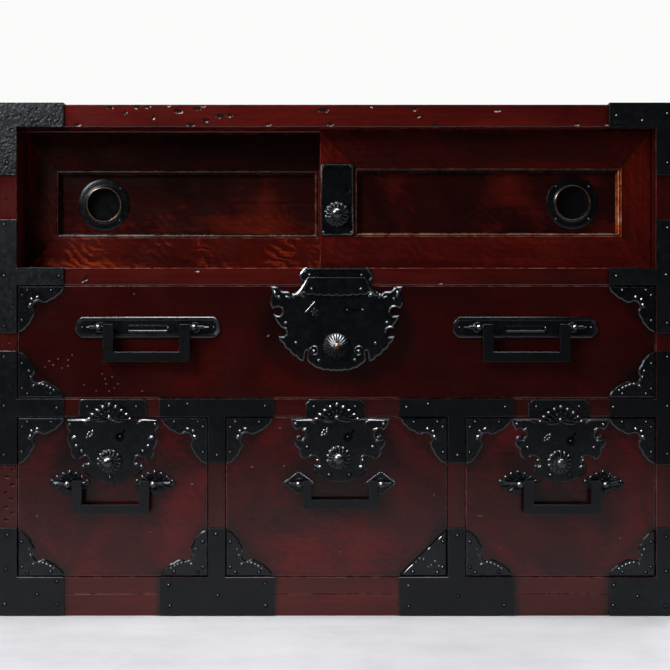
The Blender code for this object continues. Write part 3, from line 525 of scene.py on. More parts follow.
# Painted highlights: near-white lines on the low rails' beads and the right door's outer bead, where they face
# the lamps.
LOW_BEAD_HIGHLIGHT_TONES = tones((150, 80, 54), (200, 136, 106), (238, 208, 188))
RIGHT_BEAD_HIGHLIGHT_TONES = tones((186, 80, 38), (216, 122, 74), (244, 216, 198))
LOW_BEAD = worn_and_lit_edge("low_bead_painted_highlight", LOW_BEAD_HIGHLIGHT_TONES, 41, 0.9, 0.16, 0.35)
RIGHT_BEAD = worn_and_lit_edge("right_bead_painted_highlight", RIGHT_BEAD_HIGHLIGHT_TONES, 42, 0.9, 0.06, 0.3)
TRAY_WOOD = plain_wood("tray_wood", (55, 1.2, 55), srgb(196, 162, 116), srgb(158, 118, 76), 13)
BACK_WOOD = plain_wood("back_wood", (1.2, 55, 55), srgb(172, 134, 92), srgb(132, 96, 62), 14)

DARK = tones((6, 7, 8), (13, 14, 16), (24, 20, 18))
STRAP_IRON = iron("strap_iron", BLACK, 15, (0.32, 0.46), 0.32, hammer=0.5, fine=0.2)
DARK_STRAP_IRON = iron("dark_strap_iron", DARK, 43, (0.32, 0.46), 0.17, hammer=0.5, fine=0.2)
# The pitted iron's light tone is lighter than the other straps': pitting, and a painted sheen from the lamps on
# the left.
PITS_AND_SHEEN = tones((7, 8, 10), (20, 21, 25), (42, 35, 31))
PITTED_IRON = iron("pitted_strap_iron", PITS_AND_SHEEN, 36, (0.2, 0.36), 0.42, hammer=1.0, fine=1.0, grain_scale=300.0)
PLATE_IRON = iron("plate_iron", BLACK, 16, (0.2, 0.3), 0.36, hammer=0.2, fine=0.08)
MATT = tones((9, 11, 13), (17, 19, 22), (28, 24, 21))
DARK_MATT = tones((5, 6, 7), (10, 11, 13), (18, 15, 13))
BAIL_IRON = iron("bail_iron", MATT, 17, (0.42, 0.56), 0.3, hammer=0.2, fine=0.15)
LONG_BAIL_IRON = iron("long_bail_iron", DARK_MATT, 44, (0.42, 0.56), 0.14, hammer=0.2, fine=0.15)
RELIEF_IRON = iron("relief_iron", RUBBED, 18, (0.2, 0.3), 0.6, (168, 171, 176))
RIM_TONES = tones((10, 11, 12), (20, 21, 23), (34, 28, 24))
RIM_IRON = iron("rim_iron", RIM_TONES, 25, (0.2, 0.3), 0.7, (84, 86, 90))
DULL_IRON = iron("dull_rim_iron", BLACK, 40, (0.24, 0.34), 0.6, (52, 54, 57))
BOSS_IRON = iron("boss_iron", BLACK, 37, (0.16, 0.24), 0.14, (118, 120, 124))
STUD_IRON = iron("stud_iron", RUBBED, 38, (0.22, 0.32), 0.5, (116, 118, 122))
BAIL_EDGE = iron("rubbed_and_lit_bail_edge", RUBBED, 39, (0.2, 0.32), 0.4, (92, 94, 97))
NAIL_IRON = iron("nail_iron", RUBBED, 19, (0.22, 0.32), 0.5, (112, 112, 114))
EDGE_IRON = iron("rubbed_and_lit_iron", RUBBED, 20, (0.2, 0.32), 0.5, (104, 106, 110))
HOLE_IRON = iron("hole_iron", tones((2, 2, 2), (5, 5, 5), (10, 7, 6)), 21, (0.7, 0.9), 0.1)
COPPER_TONES = tones((52, 40, 34), (96, 72, 56), (84, 56, 42))
COPPER = iron("rubbed_and_lit_copper", COPPER_TONES, 22, (0.2, 0.32), bare=(196, 160, 132))

# The irons of a fitting, and the numbers of its faces' materials in this order.
FITTING_IRONS = [
    PLATE_IRON, RELIEF_IRON, NAIL_IRON, HOLE_IRON, COPPER, RIM_IRON, BOSS_IRON, STUD_IRON, DULL_IRON,
]
PLATE, RELIEF, NAIL, HOLE, TIP, RIM, BOSS, STUD, DULL = range(len(FITTING_IRONS))
SMOOTH = 40


def new_piece(name, mesh, body, materials, smooth):
    """An object of the scene that rides on a body; smooth is the sharpest angle that is shaded round."""
    for material in materials:
        mesh.materials.append(material)
    mesh.shade_smooth()
    mesh.set_sharp_from_angle(angle=math.radians(smooth))
    piece = bpy.data.objects.new(name, mesh)
    bpy.context.scene.collection.objects.link(piece)
    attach(piece, body)
    return piece


def close_shape(shape, name):
    mesh = bpy.data.meshes.new(name)
    shape.to_mesh(mesh)
    shape.free()
    return mesh


def dress(node, material, edge, bevel):
    """Keeps a CAD node, with its material and rubbed arrises, whose edge material also paints highlight; the
    bevel is in millimetres.
    """
    piece = NODES[node]
    piece.data.materials.clear()
    piece.data.materials.append(material)
    piece.data.materials.append(edge)
    weld = piece.modifiers.new("Weld", "WELD")
    weld.merge_threshold = 1e-5
    arris = piece.modifiers.new("Arris", "BEVEL")
    arris.width = bevel * MM
    arris.segments = 2
    arris.limit_method = "ANGLE"
    arris.angle_limit = math.radians(35)
    arris.material = 1


def arc(start, end, bulge, step=math.radians(14)):
    """Points after start, up to end, on the arc that swells to the left of the way by bulge half chords."""
    steps = max(1, math.ceil(4 * math.atan(abs(bulge)) / step))
    if steps == 1:
        return [end]
    (x0, z0), (x1, z1) = start, end
    offset = (1 / bulge - bulge) / 4
    cx = (x0 + x1) / 2 + offset * (z1 - z0)
    cz = (z0 + z1) / 2 - offset * (x1 - x0)
    radius = math.hypot(x0 - cx, z0 - cz)
    first = math.atan2(z0 - cz, x0 - cx)
    sweep = -4 * math.atan(bulge)
    turns = [first + sweep * i / steps for i in range(1, steps)]
    return [(cx + radius * math.cos(t), cz + radius * math.sin(t)) for t in turns] + [end]


def path(points):
    """The polyline through (x, z, bulge) points."""
    line = [points[0][:2]]
    for (x0, z0, bulge), (x1, z1, _) in zip(points, points[1:]):
        line += arc((x0, z0), (x1, z1), bulge)
    return line


def mirrored(half):
    """A closed outline from its right half."""
    top, *right, bottom = path(half)
    left = [(-x, z) for x, z in reversed(right)]
    first = [top] if top[1] != right[0][1] else []
    last = [bottom] if bottom[1] != right[-1][1] else []
    return first + right + last + left


def flipped(points, side):
    """A line of the right half, or its mirror image where the side is -1."""
    return [(side * x, z) for x, z in points]


def flipped_turn(turn, side):
    """A turn of the right half in degrees, or its mirror image, in radians."""
    return math.radians(turn if side > 0 else 180 - turn)


def neighbours(points, i, closed):
    """The points before and after one of a line; an open line's ends stand in for what is missing."""
    before = points[i - 1] if closed or i else points[i]
    after = points[(i + 1) % len(points)] if closed or i < len(points) - 1 else points[i]
    return Vector(before), Vector(after)


def inset(points, distance, closed=True):
    """The line moved sideways, to the right of its way, by the distance."""
    line = []
    for i, (x, z) in enumerate(points):
        before, after = neighbours(points, i, closed)
        a = Vector((x, z)) - before
        b = after - Vector((x, z))
        a = a.normalized() if a.length > TINY else b.normalized()
        b = b.normalized() if b.length > TINY else a
        side = Vector((a.y + b.y, -a.x - b.x))
        side = side.normalized() if side.length > TINY else Vector((a.y, -a.x))
        reach = distance / max(0.5, side.dot(Vector((a.y, -a.x))))
        line.append((x + side.x * reach, z + side.y * reach))
    return line


def keyhole(x, z, radius, turn, reach, half):
    """A round hole with a straight slot out of it, at the turn in degrees."""
    opening = math.asin(half / radius)
    steps = 20
    sweep = math.tau - 2 * opening
    turns = [opening + sweep * i / steps for i in range(steps + 1)]
    points = [(radius * math.cos(t), radius * math.sin(t)) for t in turns]
    points += [(reach, -half), (reach, half)]
    cosine, sine = math.cos(math.radians(turn)), math.sin(math.radians(turn))
    return [(x + u * cosine - v * sine, z + u * sine + v * cosine) for u, v in points]


# Cross sections as (across in half widths, up in rises), a bead's as (out in radii, up in heights).
RIDGE = [(-1, 0), (-0.32, 0.8), (-0.12, 0.97), (0.12, 0.97), (0.32, 0.8), (1, 0)]
LIP = [(-1, 0), (-0.3, 0.85), (-0.1, 1), (3.6, 0)]
ROD = [(-1, -3), *RIDGE, (1, -3)]
PETAL = [(-1, 0.0), (-0.62, 0.82), (-0.2, 0.9), (0, 0.62), (0.2, 0.9), (0.62, 0.82), (1, 0.0)]
BEAD_LEVELS = [(1, 0), (0.95, 0.03), (0.88, 0.1), (0.8, 0.21), (0.42, 0.77), (0.32, 0.89), (0.18, 0.98)]
PETAL_STEPS = 6
RING_POINTS = 28
SHARP = 0.00002
TONGUE_CHAMFER = 0.0005


class Relief:
    """A piece in the making on an upright face; x, z and sizes are in millimetres, y in metres."""

    def __init__(self, centre=(0.0, 0.0), face=PLATE_FRONT):
        self.shape = bmesh.new()
        self.centre = centre
        self.face = face

    def spot(self, x, z):
        """A point seen from the front, in metres."""
        return self.centre[0] + x * MM, self.centre[1] + z * MM

    def row(self, points):
        """New corners at (x, y, z) points."""
        made = []
        for x, y, z in points:
            px, pz = self.spot(x, z)
            made.append(self.shape.verts.new((px, y, pz)))
        return made

    def bands(self, rows, material, closed=True):
        """Faces from each row of corners to the next; each band may have its own material in a list."""
        for number, (low, high) in enumerate(zip(rows, rows[1:])):
            for i in range(len(low) if closed else len(low) - 1):
                j = (i + 1) % len(low)
                face = self.shape.faces.new((low[i], low[j], high[j], high[i]))
                face.material_index = material[number] if isinstance(material, list) else material

    def plate(self, loops, back, front, chamfer, material=PLATE):
        """A sheet with the first loop as its outline and the others as holes."""
        curve = bpy.data.curves.new("sheet", "CURVE")
        curve.dimensions = "2D"
        curve.fill_mode = "BOTH"
        curve.extrude = (back - front) / 2 - chamfer
        curve.bevel_depth = chamfer
        curve.bevel_resolution = 1
        curve.offset = -chamfer
        for loop in loops:
            spline = curve.splines.new("POLY")
            spline.points.add(len(loop) - 1)
            for point, corner in zip(spline.points, loop):
                point.co = (*self.spot(*corner), 0, 1)
            spline.use_cyclic_u = True
        drawing = bpy.data.objects.new("sheet", curve)
        mesh = bpy.data.meshes.new_from_object(drawing)
        bpy.data.objects.remove(drawing)
        bpy.data.curves.remove(curve)
        mesh.transform(Matrix.Translation((0, (back + front) / 2, 0)) @ Matrix.Rotation(math.pi / 2, 4, "X"))
        start = len(self.shape.faces)
        self.shape.from_mesh(mesh)
        bpy.data.meshes.remove(mesh)
        self.shape.faces.ensure_lookup_table()
        for face in self.shape.faces[start:]:
            face.material_index = material

    def backing(self, x0, z0, x1, z1, back=FRONT_Y - 0.0001, front=IRON_BACK):
        """A dark sheet behind a keyhole: painted shade for the inside of the hole."""
        self.plate([[(x0, z0), (x1, z0), (x1, z1), (x0, z1)]], back, front, SHARP, HOLE)

    def bevelled(self, outline, holes, back, front, width, edge=RIM):
        """A sheet, drawn clockwise, whose rim slopes down to the wood."""
        face = inset(outline, width)
        self.plate([face, *holes], back, front, SHARP)
        steps = ((outline, back), (outline, back - 0.0003), (face, front))
        self.bands([self.row((x, y, z) for x, z in line) for line, y in steps], edge)

    def rim(self, points, width, rise, material, closed=False, taper=False, section=RIDGE, y=None):
        """A ridge along a line; a lip falls off slowly to the right of its way."""
        y = self.face if y is None else y
        rows = []
        for i, (x, z) in enumerate(points):
            before, after = neighbours(points, i, closed)
            way = after - before
            way = way.normalized() if way.length > TINY else Vector((1, 0))
            share = 0.25 + 0.75 * math.sin(math.pi * i / (len(points) - 1)) ** 0.6 if taper else 1.0
            half = width / 2 * share
            lift = rise * share * MM
            line = [(x + way.y * u * half, y - up * lift, z - way.x * u * half) for u, up in section]
            rows.append(self.row(line))
        self.bands(rows + rows[:1] if closed else rows, material, False)

    def ring(self, x, z, radius, width, rise, material, start=0.0, end=math.tau, taper=False):
        """A raised ring, or a part of one, as a lip round a hole or a curl."""
        closed = abs(end - start) >= math.tau - TINY
        steps = RING_POINTS if closed else RING_POINTS - 1
        turns = [start + (end - start) * i / steps for i in range(RING_POINTS)]
        points = [(x + radius * math.cos(t), z + radius * math.sin(t)) for t in turns]
        self.rim(points, width, rise, material, closed, taper)

    def dome(self, x, z, radius, height, material, sides=12, squash=1.0, turn=0.0, y=None):
        """A bead or nail head with straight flanks and a round tip; it may be longer than wide."""
        y = self.face if y is None else y
        height = min(height, 0.56 * radius) * MM
        rows = []
        for out, up in BEAD_LEVELS:
            level = []
            for side in range(sides):
                angle = math.tau * side / sides
                u, v = radius * out * math.cos(angle), radius * out * squash * math.sin(angle)
                dx = u * math.cos(turn) - v * math.sin(turn)
                dz = u * math.sin(turn) + v * math.cos(turn)
                level.append((x + dx, y - height * up, z + dz))
            rows.append(self.row(level))
        self.bands(rows, material)
        (top,) = self.row([(x, y - height, z)])
        for i in range(sides):
            self.shape.faces.new((rows[-1][i], rows[-1][(i + 1) % sides], top)).material_index = material

    def nails(self, points, radius=2.4, height=1.7, material=NAIL, y=None):
        """Hammered nail heads, each on a dark spot that is painted shade of the pit round the head; no two are
        quite alike.
        """
        for number, (x, z) in enumerate(points):
            px, pz = self.spot(x, z)
            wobble = noise.noise(Vector((px * 91, pz * 83, number)))
            wide, tall = radius + 0.25 * wobble, height + 0.2 * wobble
            self.dome(x, z, wide, tall, material, 10, 0.9 + 0.15 * wobble, 3 * wobble, y)
            self.dome(x, z, radius + 1.3, 0.12, HOLE, 8, 0.95, wobble, y)

    def petal(self, root, tip, width, height, material, y):
        """A raised leaf from its root to its rounded tip, with a crease along the middle."""
        (x0, z0), (x1, z1) = root, tip
        way = Vector((x1 - x0, z1 - z0))
        side = Vector((-way.y, way.x)).normalized()
        rows = []
        for i in range(PETAL_STEPS + 1):
            t = i / PETAL_STEPS
            half = width / 2 * math.sin(math.pi * min(1, 0.08 + t * 0.9) ** 1.35) ** 0.75
            lift = height * MM * math.sin(math.pi * min(1, 0.1 + 0.86 * t)) ** 0.6
            x, z = x0 + way.x * t, z0 + way.y * t
            line = [(x + side.x * half * u, y - lift * up, z + side.y * half * u) for u, up in PETAL]
            rows.append(self.row(line))
        self.bands(rows, material, False)

    def turned(self, profile, x, z, sides, flutes=0, depth=0.0, material=PLATE):
        """A body turned about an axis out of the face, from (radius, height, flute share) points."""
        rows = []
        for radius, height, share in profile:
            ring = []
            for i in range(sides):
                angle = math.tau * i / sides
                flute = math.sqrt(abs(math.cos(flutes * angle / 2))) - 0.6 if flutes else 0
                y = self.face - (height + depth * share * flute) * MM
                ring.append((x + radius * math.cos(angle), y, z + radius * math.sin(angle)))
            rows.append(self.row(ring))
        self.bands(rows, material)

    def done(self, name, body, materials=FITTING_IRONS, smooth=SMOOTH):
        return new_piece(name, close_shape(self.shape, name), body, materials, smooth)


STRAP_IRONS = {
    "left_top_corner_iron": PITTED_IRON,
    "left_divider_top_iron": DARK_STRAP_IRON,
    "right_divider_top_iron": DARK_STRAP_IRON,
    "left_lower_tee_iron": DARK_STRAP_IRON,
    "right_lower_tee_iron": DARK_STRAP_IRON,
}
for board, wood in BOARDS.items():
    dress(board, wood, EDGE, 0.9)
for name in NODES:
    if name.endswith("_tray"):
        dress(name, TRAY_WOOD, TRAY_WOOD, 0.8)
    elif name.endswith("_iron"):
        dress(name, STRAP_IRONS.get(name, STRAP_IRON), EDGE_IRON, 0.5)
    elif name.endswith("_bail"):
        metal, edge = (LONG_BAIL_IRON, BAIL_EDGE) if name.startswith("long") else (BAIL_IRON, DULL_IRON)
        dress(name, metal, edge, 0.8)
    elif name.endswith(("_plate", "_rosette", "_pull", "_bolt")):
        dress(name, PLATE_IRON, DULL_IRON, 0.4)
dress("back_panel", BACK_WOOD, BACK_WOOD, 0.6)


# Doors, in metres; the bead as (inset from the flat's inner line, depth behind the face) in millimetres.
DOOR_LOW_Z = 0.457
DOOR_HIGH_Z = 0.6395
OUTER_STILE = 0.039
MEETING_STILE = 0.0465
BOTTOM_RAIL = 0.042
TOP_RAIL = 0.049
FRAME_ARRIS = 0.0006
PANEL_ROOM = 0.0005
BEAD_PROFILE = [
    (0, 0), (0.35, 1.1), (0.9, 1.1), (1.15, 0.65), (1.7, 0.2), (2.4, 0.05), (3.1, 0.25), (3.6, 0.9),
    (3.85, 1.9), (4.05, 3.2), (5.5, 3.4), (5.5, 7.7),
]
MITRE_GAP = 0.00008
TONGUE_HALF = 0.004
TONGUE_SHORT = 0.002
FRAME_SMOOTH = 25
# A door frame's materials after a member's two woods, and the numbers of its faces' materials.
FRAME_EDGES = [EDGE, BEAD, LOW_BEAD, RIGHT_BEAD]
FRAME_EDGE, FRAME_BEAD, FRAME_LOW, FRAME_RIGHT = range(2, 6)


def build_door_frame(door, outer_side):
    """Two rails and two stiles, mitred, with a bead round the panel and tongues in the door's tracks."""
    low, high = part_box(f"{door}_frame")
    front, back = low.y, high.y
    left, right = (OUTER_STILE, MEETING_STILE) if outer_side < 0 else (MEETING_STILE, OUTER_STILE)
    inner = (low.x + left, high.x - right, DOOR_LOW_Z + BOTTOM_RAIL, DOOR_HIGH_Z - TOP_RAIL)
    outer = (low.x, high.x, DOOR_LOW_Z, DOOR_HIGH_Z)

    def shrunk(rectangle, by):
        x0, x1, z0, z1 = rectangle
        return x0 + by, x1 - by, z0 + by, z1 - by

    def corner(rectangle, number):
        x0, x1, z0, z1 = rectangle
        return [(x0, z0), (x1, z0), (x1, z1), (x0, z1)][number % 4]

    rows = [(outer, back), (outer, front + FRAME_ARRIS), (shrunk(outer, FRAME_ARRIS), front)]
    rows += [(shrunk(inner, into * MM), front + deep * MM) for into, deep in BEAD_PROFILE]
    groove = shrunk(inner, PANEL_ROOM)
    rows += [(groove, front + BEAD_PROFILE[-1][1] * MM), (groove, back)]
    bead_rows = range(3, 2 + len(BEAD_PROFILE))
    woods = DOOR_WOODS[door]
    for part, members, sides in (("rails", (0, 2), ("low", "top")), ("stiles", (1, 3), ("right", "left"))):
        shape = bmesh.new()
        for place, number in enumerate(members):
            bead = FRAME_LOW if number == 0 else FRAME_RIGHT if number == 1 and outer_side > 0 else FRAME_BEAD
            starts, ends = [], []
            for rectangle, y in rows:
                (x0, z0), (x1, z1) = corner(rectangle, number), corner(rectangle, number + 1)
                way = Vector((x1 - x0, z1 - z0)).normalized() * MITRE_GAP
                starts.append(shape.verts.new((x0 + way.x, y, z0 + way.y)))
                ends.append(shape.verts.new((x1 - way.x, y, z1 - way.y)))
            for i in range(len(rows)):
                j = (i + 1) % len(rows)
                face = shape.faces.new((starts[i], starts[j], ends[j], ends[i]))
                face.material_index = FRAME_EDGE if i == 1 else bead if i in bead_rows else place
            shape.faces.new(starts)
            shape.faces.new(ends)
            if part == "rails":
                foot, head = (low.z, DOOR_LOW_Z) if number == 0 else (DOOR_HIGH_Z, high.z)
                tongue = bmesh.ops.create_cube(shape, size=1)["verts"]
                size = Vector((high.x - low.x - TONGUE_SHORT, 2 * TONGUE_HALF, head - foot))
                bmesh.ops.scale(shape, vec=size, verts=tongue)
                spot = Vector(((low.x + high.x) / 2, (front + back) / 2, (foot + head) / 2))
                bmesh.ops.translate(shape, vec=spot, verts=tongue)
        bmesh.ops.recalc_face_normals(shape, faces=shape.faces)
        mesh = close_shape(shape, f"{door}_{part}")
        materials = [*(woods[side] for side in sides), *FRAME_EDGES]
        piece = new_piece(f"{door}_{part}", mesh, door, materials, FRAME_SMOOTH)
        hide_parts(f"{door}_frame")


# A finger pull's profile as (radius, height), and the materials of its bands: flange, lip and cup.
PULL_PROFILE = [
    (35, 0), (34.9, 0.4), (34, 0.8), (32, 1.1), (29, 1.3), (26.5, 1.5), (25, 1.8), (24.2, 2.5), (23.6, 3.1),
    (23, 3.3), (22.4, 3.1), (22, 2.4), (21.8, 0.4), (21.6, -3.8), (20.8, -4.9), (19, -5.45), (0.4, -5.5),
]
PULL_IRONS = [PLATE_IRON, COPPER, HOLE_IRON, NAIL_IRON]
PULL_BANDS = [0] * 8 + [1] * 3 + [2] * 5
PULL_NAIL = 3


def build_pull(door):
    """A round finger pull: a black flange, a copper lip that is rubbed and given a painted highlight where it
    faces up and to the left, and a dark cup.
    """
    relief = Relief(middle_of(f"{door}_finger_pull"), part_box(f"{door}_finger_pull")[0].y + 0.003)
    relief.turned([(radius, height, 0) for radius, height in PULL_PROFILE], 0, 0, 72, material=PULL_BANDS)
    bmesh.ops.recalc_face_normals(relief.shape, faces=relief.shape.faces)
    for i in range(4):
        angle = math.radians(45 + 90 * i)
        x, z = 31 * math.cos(angle), 31 * math.sin(angle)
        relief.dome(x, z, 1.2, 0.9, PULL_NAIL, y=relief.face - 0.0014)
    piece = relief.done(f"{door}_pull", door, PULL_IRONS)
    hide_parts(f"{door}_finger_pull")


# Outlines of the fittings in millimetres: the right half from top to bottom, as (x, z, bulge).
LONG_PLATE = [
    (0, 50, 0), (46, 50, 0.2), (58.6, 45.5, 0.35), (68.2, 49.6, -0.3), (76, 55.6, 0.1), (86.5, 56, -0.25),
    (84.6, 45.5, 0.3), (84, 27.2, -0.1), (76.1, 29.3, -0.8), (74.3, 17.6, 0), (82, 18.6, 0.15),
    (71.3, 1.8, -0.75), (68.3, -9.7, 0), (75.6, -8.8, 0.3), (69.4, -18.6, 0.3), (61.4, -27.6, 0.3),
    (52.6, -35.2, 0.3), (42.8, -41.8, 0), (40.2, -28.6, -0.9), (37.9, -29.2, 0), (38.6, -39.6, 0.2),
    (31.6, -46.4, 0.25), (21.6, -51, 0.25), (11, -53.2, 0.25), (3, -53.6, -0.2), (0, -56, 0),
]
LONG_SCALLOPS = [(41.5, 47.4, 0.35), (31, 46.4, 0.35), (21, 45.6, 0.35), (10.5, 45.1, 0.35), (0, 44.9, 0)]
LONG_TOP = 68
LONG_TONGUE = [(0, LONG_TOP, 0), (37, LONG_TOP, -0.3), (41, 59, 0), *LONG_SCALLOPS]
SMALL_PLATE = [
    (0, 40.6, 0), (64.5, 40.6, 0.2), (57, 25, -1.1), (47, 15.6, 0.3), (54.4, 19.2, 0.62), (53.8, 1, 0.4),
    (44.9, -13.6, -0.2), (39.7, -8.9, -0.9), (29.4, -20, 0.3), (33.6, -19.9, 0.5), (28.2, -33.4, 0.2),
    (0, -42.5, 0),
]
LEFT_PLATE = [
    (0, 40.2, 0), (59.6, 40.2, 0.35), (57, 25, 0.3), (54.4, 1, 0.55), (43.5, -13.6, -0.2),
    (36.2, -8.6, -0.85), (33, -17.8, 0), (39.3, -17.2, 0.35), (35.1, -31.3, 0.2), (21.5, -37, 0.15),
    (0, -45, 0),
]
FLOWER_TONGUE = [
    (0, 61, 0.5), (7.4, 58.6, 0.55), (15, 54.6, 0.55), (21.5, 49.6, 0.6), (27.4, 43, 0.45), (14, 37, 0.3),
    (0, 35, 0),
]

# Relief of the long lock's right half; curls are centres, studs are (x, z, length, turn).
LONG_CURLS = [(76.2, 23.4), (70.6, -3.8)]
LONG_SCROLL = path([
    (37.2, -38, 0), (37.0, -31.5, -0.25), (31, -22.4, -0.5), (24.2, -28, -0.5), (29.2, -33.2, -0.45),
    (32.2, -29, 0),
])
LONG_STUDS = [(46, 46.4, 6.5, 40), (56.5, 43.6, 3.6, 80), (63.5, 42, 3.4, 20), (80, 46.5, 5, 75)]
LONG_CREST = [(41, 49), (40.6, 58.6), (37, 66.8), (-37, 66.8), (-40.6, 58.6), (-41, 49)]
LONG_FLARE = path([(39.5, 65, -0.1), (41.6, 59, 0), (46.4, 51, 0.12), (49.4, 47.4, -0.3), (56, 45.6, 0)])
LONG_NAILS = [
    (-75.3, 42), (-66.2, 8.5), (-53, -17.7), (-22.9, -40.6), (75.3, 40), (66.2, 9), (51, -18.2), (24, -40),
]
DIAMOND = [(-28.2, 37.4), (-14.6, 22.3), (-28.2, 7.2), (-41.8, 22.3)]
DIAMOND_MIDDLE = (-28.2, 22.3)

# Bosses as (radius, height, flute share).
LONG_BOSS = [
    (17.8, -0.5, 0), (17.8, 1.4, 0), (17.2, 2.5, 0.5), (15.6, 4.2, 1), (13, 6.4, 1), (10, 8.6, 1),
    (7, 10.6, 1), (4.8, 12, 0.5), (4, 12.6, 0),
]
LONG_BOSS_TIP = [(4, 12.6, 0), (3.4, 13.2, 0), (2.7, 14.2, 0), (2.2, 15.3, 0), (1.3, 15.9, 0), (0.15, 16, 0)]
LONG_BOSS_Z = -22.2
SMALL_BOSS = [
    (16.4, -0.5, 0), (16.4, 1.2, 0), (15.6, 2.2, 0), (13, 3.4, 0.7), (10.2, 4.0, 1), (8, 4.5, 0.6),
    (6.6, 5.6, 0),
]
SMALL_BALL = [
    (6.6, 5.6, 0), (6, 8, 0), (6.4, 10.4, 0), (7.1, 12.2, 0), (7, 14, 0), (6.2, 15.5, 0), (5, 16.6, 0),
    (3.4, 17.4, 0), (1.7, 17.9, 0), (0.15, 18, 0),
]
SMALL_BEADS = 14


def add_small_boss(relief, x, z, ball=RELIEF):
    """A knob on a flower: a ring of beads, a fluted cone and a smooth ball."""
    relief.turned(SMALL_BOSS, x, z, 12 * SMALL_BEADS, SMALL_BEADS, 1.5)
    relief.turned(SMALL_BALL, x, z, 48, material=ball)
    for i in range(SMALL_BEADS):
        angle = math.tau * (i + 0.5) / SMALL_BEADS
        u, v = math.cos(angle), math.sin(angle)
        # Beads that face up and to the left get the brighter iron: painted highlight.
        metal = STUD if u * WORN_AND_LIT_SIDE[0] + v * WORN_AND_LIT_SIDE[2] > 0.1 else PLATE
        relief.dome(x + 13.8 * u, z + 13.8 * v, 2.9, 3.0, metal, 12, 0.78, angle, relief.face - 0.0024)


def build_long_lock():
    """The long drawer's lock: a scrolled plate, a hood over the rail, a stamped diamond and a fluted boss."""
    relief = Relief((0.0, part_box("long_drawer_lock_plate")[1].z - LONG_TOP * MM))
    key_x, key_z = 14.1, 25.5
    hole = keyhole(key_x, key_z, 4.3, 0.0, 19.0, 1.25)
    relief.bevelled(mirrored(LONG_PLATE), [hole], IRON_BACK, PLATE_FRONT, 2.0)
    relief.backing(5, 17, 37, 34)
    for side in (-1, 1):
        for x, z in LONG_CURLS:
            toward = math.atan2(z, x) + math.pi
            angle = toward if side > 0 else math.pi - toward
            end = angle + (1.1 if side < 0 else 0.2)
            relief.ring(side * x, z, 6.9, 3.6, 1.9, RELIEF, angle - 2.3, end, True)
        relief.rim(flipped(LONG_SCROLL, side), 2.8, 1.7, RELIEF, taper=True)
        relief.dome(side * 29.2, -28.4, 2.0, 1.6, RELIEF)
        for x, z, length, turn in LONG_STUDS:
            relief.dome(side * x, z, length, 1.9, RELIEF, 14, 0.42, flipped_turn(turn, side))
    relief.plate([mirrored(LONG_TONGUE)], TONGUE_BACK, TONGUE_FRONT, TONGUE_CHAMFER)
    relief.rim(inset(LONG_CREST, 0.9, False), 1.1, 0.3, RIM, y=TONGUE_FRONT)
    hem = [(x, z + 1.0) for x, z in path(LONG_SCALLOPS)]
    # The left flare gets the brighter iron and the right the duller one: painted highlight and shade, with the
    # lamps on the left.
    for side, metal in ((-1, RELIEF), (1, DULL)):
        relief.rim(flipped(hem, side), 1.3, 0.35, DULL, y=TONGUE_FRONT)
        relief.rim(flipped(LONG_FLARE, side), 5.2, 1.7, metal, taper=True, y=PLATE_FRONT - 0.0006)
    relief.nails(LONG_NAILS)
    relief.nails([(-32.5, 52.7), (31.7, 52.7)], 1.9, 1.0, STUD, TONGUE_FRONT)
    relief.ring(key_x, key_z, 5.3, 2.4, 0.3, HOLE)
    relief.dome(34.2, key_z, 1.6, 1.2, NAIL)
    relief.dome(key_x, key_z, 1.7, 1.4, NAIL, y=IRON_BACK)
    relief.bevelled(DIAMOND, [], PLATE_FRONT + 0.0003, PLATE_FRONT - 0.0013, 1.8, HOLE)
    # Painted highlight: a bright rim only along the diamond's upper left edge, where the lamps catch it.
    relief.rim([(-41.0, 22.3), (-28.2, 36.5)], 2.2, 0.9, RELIEF, y=PLATE_FRONT - 0.0009)
    for turn in (35, 105, 165, 235, 300):
        angle = math.radians(turn)
        tip = (DIAMOND_MIDDLE[0] + 6.0 * math.cos(angle), DIAMOND_MIDDLE[1] + 6.0 * math.sin(angle))
        relief.petal(DIAMOND_MIDDLE, tip, 3.4, 1.2, STUD, PLATE_FRONT - 0.0012)
    relief.turned(LONG_BOSS, 0, LONG_BOSS_Z, 264, 22, 1.4, BOSS)
    relief.turned(LONG_BOSS_TIP, 0, LONG_BOSS_Z, 24, material=TIP)
    piece = relief.done("long_drawer_lock", "long_drawer")
    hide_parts("long_drawer_lock_plate")


# The half flower's petals by their tips on the right, with each row's root share, width and height.
FLOWER_OUTER = [(0, 59.5), (8.2, 56.4), (15.6, 52), (22, 46.8), (26.6, 41.2)]
FLOWER_INNER = [(0, 52.6), (6.4, 50.6), (12, 47.2), (17, 42.6)]
FLOWER_ROWS = [(FLOWER_OUTER, 0.48, 6.6, 2.4), (FLOWER_INNER, 0.42, 5.4, 3.2)]


def add_flower(relief, middle, drop, accent):
    """The half flower on a small lock's tongue: two rows of petals over two spread leaves."""
    heart = 40 - drop
    face = TONGUE_FRONT + 0.0003
    for row, share, width, height in FLOWER_ROWS:
        for x, z in row:
            for side in (-1, 1) if x else (1,):
                u, v = side * x, z - drop - heart
                tip = (middle + u, heart + v)
                relief.petal((middle + u * share, heart + v * share), tip, width, height, PLATE, face)
                if row is FLOWER_OUTER:
                    px, pz = relief.spot(*tip)
                    size = 3.2 - 0.03 * x + 0.4 * noise.noise(Vector((px * 99, pz * 99, 0)))
                    turn = math.atan2(v, u)
                    y = TONGUE_FRONT - 0.0003
                    relief.dome(tip[0], tip[1] - 0.8, size, size, accent, 14, 0.76, turn, y)
    for side in (-1, 1):
        leaf = (middle + side * 19, 37.4 - drop)
        relief.petal((middle + side * 2, heart - 1.5), leaf, 6.0, 2.6, RIM, face)
    relief.dome(middle, heart + 2.5, 3.4, 3.0, accent, y=TONGUE_FRONT)


